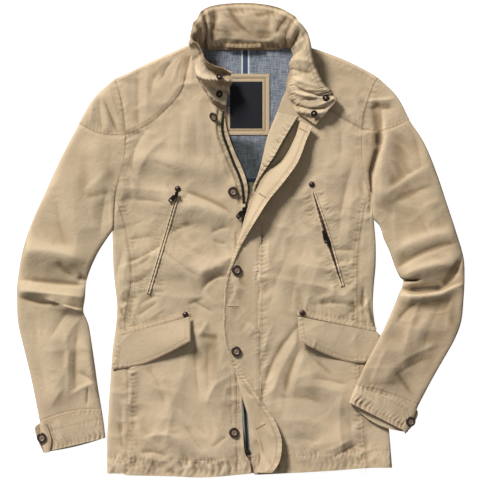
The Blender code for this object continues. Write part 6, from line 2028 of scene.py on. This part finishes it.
def make_chambray_group():
    """Chambray: crossed slubs of pale and dark thread, from Object coordinates."""
    tree, given, out = new_group("Chambray slubs", [("Place", "NodeSocketVector", None)], ["Pale", "Height"])
    found = []
    for scale in ((60.0, 900.0, 60.0), (900.0, 60.0, 60.0)):
        long = put(tree, "ShaderNodeVectorMath", {"operation": "MULTIPLY"}, i0=given.outputs["Place"], i1=scale)
        found.append(cloud(tree, long.outputs[0], 1.0, 2.0, 0.6))
    both = calc(tree, "ADD", *found)
    tree.links.new(spread(tree, both, 0.8, 1.2), out.inputs["Pale"])
    tree.links.new(both, out.inputs["Height"])


def new_material(name, roughness, metallic=0.0):
    """A Principled material; returns it, its tree and its shader."""
    made = bpy.data.materials.new(name)
    made.use_nodes = True
    tree = made.node_tree
    shader = tree.nodes["Principled BSDF"]
    shader.inputs["Roughness"].default_value = roughness
    shader.inputs["Metallic"].default_value = metallic
    return made, tree, shader


def make_cloth_material(name, c, threads):
    """Washed cotton: weave, uneven dye, a worn tint with painted highlight on crests, and painted shade on steep
    edges, in folds and along seams.
    """
    _, tree, shader = new_material(name, 0.88)
    shader.inputs["Sheen Weight"].default_value = 0.15
    shader.inputs["Sheen Roughness"].default_value = 0.5
    shader.inputs["Specular IOR Level"].default_value = 0.25
    place = tree.nodes.new("ShaderNodeTexCoord")
    uv = put(tree, "ShaderNodeUVMap", {"uv_map": "cloth"})
    tone = use(tree, "Washed tone", Place=place.outputs["Object"]).outputs
    weave = use(tree, "Plain weave", UV=uv.outputs[0], Threads=threads).outputs
    # Wear and painted light: below 0 painted shade, above 0 a worn tint with painted highlight.
    fold = mark(tree, "fold")
    colour = c.cloth
    for part, share, other in ((tone["Broad"], 0.35, c.cloth_shade), (tone["Cool"], 0.5, c.cloth_cool),
                               (tone["Mottle"], 0.22, c.cloth_shade), (weave["Tone"], 0.25, c.cloth_shade)):
        colour = blend(tree, calc(tree, "MULTIPLY", part, share), colour, other)
    # A worn tint with painted highlight on the crests.
    colour = blend(tree, spread(tree, fold, 0.0, 1.0, 0.0, 0.6), colour, c.cloth_worn_highlight)
    # Painted shade: the cloth darkened in its folds.
    colour = blend(tree, spread(tree, fold, 0.0, -1.0, 0.0, 0.85), colour, c.cloth_painted_fold_shade, "MULTIPLY")
    # Painted shadow, near black, in the deepest folds.
    colour = blend(tree, spread(tree, fold, -1.0, -2.0, 0.0, 0.92), colour, c.painted_shadow)
    # Painted shade along the seams.
    colour = blend(tree, calc(tree, "MULTIPLY", mark(tree, "seam"), 0.5), colour, c.seam)
    tree.links.new(colour, shader.inputs["Base Color"])
    fine = calc(tree, "ADD", calc(tree, "MULTIPLY", weave["Height"], 0.12),
                calc(tree, "MULTIPLY", tone["Crinkle"], 1.0))
    bump(tree, shader, fine, 0.00022, 0.8)


def make_lining_material(name, c):
    """Chambray with a navy band and pale piping down the middle, a navy stripe and a plain hem."""
    _, tree, shader = new_material(name, 0.9)
    place = tree.nodes.new("ShaderNodeTexCoord")
    parts = put(tree, "ShaderNodeSeparateXYZ", Vector=place.outputs["Object"])
    slubs = use(tree, "Chambray slubs", Place=place.outputs["Object"])
    colour = blend(tree, slubs.outputs["Pale"], c.lining_dark, c.lining_pale)

    def between(value, low, high, soft=0.0004):
        """1 between two places, with soft edges."""
        return calc(tree, "MULTIPLY", spread(tree, value, low - soft, low + soft),
                    calc(tree, "SUBTRACT", 1.0, spread(tree, value, high - soft, high + soft)))

    x, y = parts.outputs[0], parts.outputs[1]
    upper = spread(tree, y, 0.35, 0.352)
    for low, high, other in ((0.0024, 0.0168, c.piping), (0.0050, 0.0142, c.navy_band)):
        colour = blend(tree, calc(tree, "MULTIPLY", between(x, low, high), upper), colour, other)
    colour = blend(tree, between(y, 0.1575, 0.1645), colour, c.navy)
    colour = blend(tree, calc(tree, "SUBTRACT", 1.0, spread(tree, y, 0.1568, 0.1578)), colour, c.cloth)
    # Painted shade: the lining darkened where its fold value falls below 0.
    colour = blend(tree, spread(tree, mark(tree, "fold"), 0.0, -1.0), colour, (0.2, 0.22, 0.2), "MULTIPLY")
    tree.links.new(colour, shader.inputs["Base Color"])
    bump(tree, shader, slubs.outputs["Height"], 0.0002)


def make_plain_material(name, colour, roughness, metallic=0.0, grain=900.0, uneven=0.25):
    """A hard or plain material with fine grain in its colour, roughness and surface."""
    _, tree, shader = new_material(name, roughness, metallic)
    place = tree.nodes.new("ShaderNodeTexCoord")
    speck = cloud(tree, place.outputs["Object"], grain, 3.0, 0.6)
    dark = tuple(c * (1 - uneven) for c in colour)
    pale = tuple(min(1.0, c * (1 + uneven)) for c in colour)
    tree.links.new(blend(tree, speck, dark, pale), shader.inputs["Base Color"])
    rough = spread(tree, speck, 0.3, 0.7, max(0.0, roughness - 0.12), min(1.0, roughness + 0.12))
    tree.links.new(rough, shader.inputs["Roughness"])
    bump(tree, shader, speck, 0.0001)


def make_materials():
    """Every material, with the shared node groups first."""
    c = bpy.context.scene.jacket_colours
    make_weave_group()
    make_tone_group()
    make_chambray_group()
    make_cloth_material("Jacket cloth", c, 1400.0)
    make_lining_material("Jacket lining", c)
    make_plain_material("Jacket label", c.label, 0.95, grain=1500.0)
    make_plain_material("Jacket button", c.button, 0.4, grain=500.0)
    make_plain_material("Jacket button centre", c.button_rim, 0.45, grain=700.0, uneven=0.4)
    make_plain_material("Jacket gunmetal", c.gunmetal, 0.42, 0.7)
    make_plain_material("Jacket rivet", c.rivet, 0.4, 0.4)
    make_plain_material("Jacket thread", c.thread, 0.8, grain=2500.0)
    make_plain_material("Jacket tape", c.tape, 0.85, grain=2000.0)
    make_plain_material("Jacket pocket tape in painted shade", c.tape_painted_shade, 0.9, grain=2000.0)
    make_plain_material("Jacket zip tape", c.tape_grey, 0.85, grain=2000.0)
    make_plain_material("Jacket shadow", c.painted_shadow, 0.9)


# ---------------------------------------------------------------- stage
FLOOR_REACH = 30.0       # metres
FLOOR_Z = -0.0005        # just under the jacket's flat underside
LIGHT_AIM = (0, 0.05, 0)


def make_stage():
    """A pale floor, a large soft light from the upper left, pale surroundings and the camera."""
    scene = bpy.context.scene
    sizes = scene.jacket_sizes
    mesh = bpy.data.meshes.new("floor")
    corners = [(x * FLOOR_REACH, y * FLOOR_REACH, FLOOR_Z) for x, y in ((-1, -1), (1, -1), (1, 1), (-1, 1))]
    mesh.from_pydata(corners, [], [(0, 1, 2, 3)])
    floor = bpy.data.objects.new("floor", mesh)
    scene.collection.objects.link(floor)
    made, tree, shader = new_material("Floor", 0.95)
    seen = tree.nodes.new("ShaderNodeLightPath").outputs["Is Camera Ray"]
    tree.links.new(blend(tree, seen, (0.18, 0.17, 0.16), (0.3, 0.3, 0.3)), shader.inputs["Base Color"])
    shader.inputs["Emission Color"].default_value = (1, 1, 1, 1)
    tree.links.new(calc(tree, "MULTIPLY", seen, sizes.floor_glow), shader.inputs["Emission Strength"])
    shader.inputs["Specular IOR Level"].default_value = 0.0
    mesh.materials.append(made)
    for name, spot, size, energy in (("key", (-8.4, 12.4, 8.0), 3.6, sizes.key_light),
                                     ("fill", (1.8, -2.2, 3.2), 3.0, sizes.fill_light)):
        light = bpy.data.lights.new(name, "AREA")
        light.size = size
        light.energy = energy
        lamp = bpy.data.objects.new(name, light)
        lamp.location = spot
        lamp.rotation_euler = (Vector(LIGHT_AIM) - Vector(spot)).to_track_quat("-Z", "Y").to_euler()
        scene.collection.objects.link(lamp)
    world = bpy.data.worlds.new("Studio")
    world.use_nodes = True
    world.node_tree.nodes["Background"].inputs["Color"].default_value = (1.0, 1.0, 1.0, 1)
    world.node_tree.nodes["Background"].inputs["Strength"].default_value = sizes.sky
    scene.world = world
    camera = bpy.data.cameras.new("camera")
    camera.lens = 300.0
    camera.sensor_width = 36.0
    camera.clip_end = 60.0
    eye = bpy.data.objects.new("camera", camera)
    eye.location = (0.0, 0.054, sizes.camera_height)
    scene.collection.objects.link(eye)
    scene.camera = eye
    scene.view_settings.view_transform = "Standard"


# ---------------------------------------------------------------- add-on
class JacketSizes(PropertyGroup):
    """Sizes and strengths that shape the jacket and its stage."""
    folds: FloatProperty(name="Folds", description="Depth of the placed creases, 1 as designed", default=1.0,
                         min=0.0, max=2.0, subtype="FACTOR")
    crinkle: FloatProperty(name="Crinkle", description="Depth of the washed crinkles, 1 as designed", default=1.0,
                           min=0.0, max=2.0, subtype="FACTOR")
    stitch_pitch: FloatProperty(name="Stitch pitch", description="Length of one stitch", default=0.0032,
                                min=0.001, max=0.01, subtype="DISTANCE", unit="LENGTH")
    stitch_thick: FloatProperty(name="Thread", description="Thickness of the sewing thread", default=0.00065,
                                min=0.0002, max=0.002, subtype="DISTANCE", unit="LENGTH")
    camera_height: FloatProperty(name="Camera height", description="Height of the camera over the floor", default=7.2,
                                 min=1.0, max=20.0, subtype="DISTANCE", unit="LENGTH")
    key_light: FloatProperty(name="Key light", description="Power of the soft light, upper left", default=4700.0,
                             min=0.0, max=20000.0, unit="POWER")
    fill_light: FloatProperty(name="Fill light", description="Power of the wide light from the lower right",
                              default=8.0, min=0.0, max=2000.0, unit="POWER")
    sky: FloatProperty(name="Surroundings", description="Strength of the pale surroundings", default=0.18, min=0.0,
                       max=5.0)
    floor_glow: FloatProperty(name="Floor glow", description="Light that the pale floor gives by itself", default=0.95,
                              min=0.0, max=2.0)


def tint(label, text, value):
    """A colour property in linear values from 8-bit sRGB numbers."""
    linear = tuple((v / 255 / 12.92) if v <= 10 else ((v / 255 + 0.055) / 1.055) ** 2.4 for v in value)
    return FloatVectorProperty(name=label, description=text, default=linear, size=3, min=0.0, max=1.0, subtype="COLOR")


class JacketColours(PropertyGroup):
    """Colours of the jacket's materials."""
    cloth: tint("Cloth", "Shell cloth in full light", (203, 181, 151))
    cloth_shade: tint("Cloth shade", "Darker dye and thread gaps of the shell cloth", (183, 159, 128))
    cloth_cool: tint("Cloth cool", "Olive parts of the uneven dye", (187, 170, 138))
    # Worn tint with painted highlight for the crests.
    cloth_worn_highlight: tint("Cloth worn", "Washed crests of the shell cloth", (221, 201, 171))
    # Painted shade in the cloth's folds.
    cloth_painted_fold_shade: tint("Cloth deep", "Tint of the shell cloth in its folds", (190, 180, 162))
    # Painted shade along the seams' grooves.
    seam: tint("Seam", "Lines along the seams", (140, 112, 80))
    thread: tint("Thread", "Sewing thread", (205, 180, 146))
    tape: tint("Zip tape", "Woven tape of the zips", (172, 156, 124))
    # Painted shade: the tape in the chest pockets' openings drawn dark as in shade.
    tape_painted_shade: tint("Pocket tape", "Tape in the openings of the chest pockets", (98, 74, 50))
    tape_grey: tint("Lower zip tape", "Tape behind the closed part of the front zip", (128, 134, 128))
    # Painted shadow in the buttonhole slits and the deepest folds.
    painted_shadow: tint("Slit", "Dark inside of a buttonhole", (60, 45, 32))
    lining_dark: tint("Lining dark", "Dark threads of the chambray", (88, 95, 108))
    lining_pale: tint("Lining pale", "Pale threads of the chambray", (146, 151, 158))
    navy: tint("Navy", "Stripe across the lining", (26, 38, 62))
    navy_band: tint("Navy band", "Band down the lining", (62, 72, 98))
    piping: tint("Piping", "Pale lines beside the band", (205, 215, 210))
    label: tint("Label", "Woven label, left bare", (19, 20, 28))
    button: tint("Button", "Buttons", (56, 40, 32))
    button_rim: tint("Button centre", "Worn centre of the buttons", (126, 106, 88))
    gunmetal: tint("Gunmetal", "Zips, pulls and snaps", (42, 39, 36))
    rivet: tint("Rivet", "Rivets", (66, 46, 42))


class PieceOperator(Operator):
    """Base of the operators that build one group of pieces."""
    bl_options = {"REGISTER", "UNDO"}

    def execute(self, context):
        for step in self.steps:
            step()
        return {"FINISHED"}


class JACKET_OT_materials(PieceOperator):
    """Makes the cloth, lining, thread, metal and button materials"""
    bl_idname = "jacket.materials"
    bl_label = "Materials"
    steps = (make_materials,)


class JACKET_OT_body(PieceOperator):
    """Builds the back, fronts, yokes and side panels"""
    bl_idname = "jacket.body"
    bl_label = "Body"
    steps = (make_body,)


class JACKET_OT_sleeves(PieceOperator):
    """Builds the sleeves, caps and cuffs"""
    bl_idname = "jacket.sleeves"
    bl_label = "Sleeves"
    steps = (make_sleeves,)


class JACKET_OT_collar(PieceOperator):
    """Builds the stand collar"""
    bl_idname = "jacket.collar"
    bl_label = "Collar"
    steps = (make_collar,)


class JACKET_OT_neck(PieceOperator):
    """Builds the lining, label and hanging loop"""
    bl_idname = "jacket.neck"
    bl_label = "Neck"
    steps = (make_neck, make_hanger)


class JACKET_OT_placket(PieceOperator):
    """Builds the storm flap, the lapel and the front zip"""
    bl_idname = "jacket.placket"
    bl_label = "Placket"
    steps = (make_storm_flap, make_lapel, make_zip)


class JACKET_OT_pockets(PieceOperator):
    """Builds the pocket welts, zips and flaps"""
    bl_idname = "jacket.pockets"
    bl_label = "Pockets"
    steps = (make_pockets,)


class JACKET_OT_trims(PieceOperator):
    """Builds the zip pulls, buttons, tabs, snaps and rivets"""
    bl_idname = "jacket.trims"
    bl_label = "Trims"
    steps = (make_pulls, make_buttons, make_snaps, make_rivets)


class JACKET_OT_sewing(PieceOperator):
    """Builds the rows of stitches and the buttonholes"""
    bl_idname = "jacket.sewing"
    bl_label = "Sewing"
    steps = (make_stitches, make_buttonholes)


class JACKET_OT_stage(PieceOperator):
    """Sets the floor, lights and camera"""
    bl_idname = "jacket.stage"
    bl_label = "Stage"
    steps = (make_stage,)


OPERATORS = (JACKET_OT_materials, JACKET_OT_body, JACKET_OT_sleeves, JACKET_OT_collar, JACKET_OT_neck,
             JACKET_OT_placket, JACKET_OT_pockets, JACKET_OT_trims, JACKET_OT_sewing, JACKET_OT_stage)


class JACKET_PT_panel(Panel):
    """Lists the jacket's sizes, colours and building steps"""
    bl_idname = "JACKET_PT_panel"
    bl_label = "Field jacket"
    bl_space_type = "VIEW_3D"
    bl_region_type = "UI"
    bl_category = "Jacket"

    def draw(self, context):
        column = self.layout.column(align=True)
        for group in (context.scene.jacket_sizes, context.scene.jacket_colours):
            for name in group.bl_rna.properties.keys():
                if name not in ("rna_type", "name"):
                    column.prop(group, name)
        for operator in OPERATORS:
            self.layout.operator(operator.bl_idname)


CLASSES = (JacketSizes, JacketColours, *OPERATORS, JACKET_PT_panel)


def register():
    """Registers the classes and the scene's settings."""
    for kind in CLASSES:
        bpy.utils.register_class(kind)
    bpy.types.Scene.jacket_sizes = PointerProperty(type=JacketSizes)
    bpy.types.Scene.jacket_colours = PointerProperty(type=JacketColours)


def unregister():
    """Removes the scene's settings and the classes."""
    del bpy.types.Scene.jacket_sizes
    del bpy.types.Scene.jacket_colours
    for kind in reversed(CLASSES):
        bpy.utils.unregister_class(kind)


def main():
    """Builds the jacket and its stage in order."""
    register()
    for operator in OPERATORS:
        getattr(bpy.ops.jacket, operator.bl_idname.split(".")[1])()


if __name__ == "__main__":
    main()
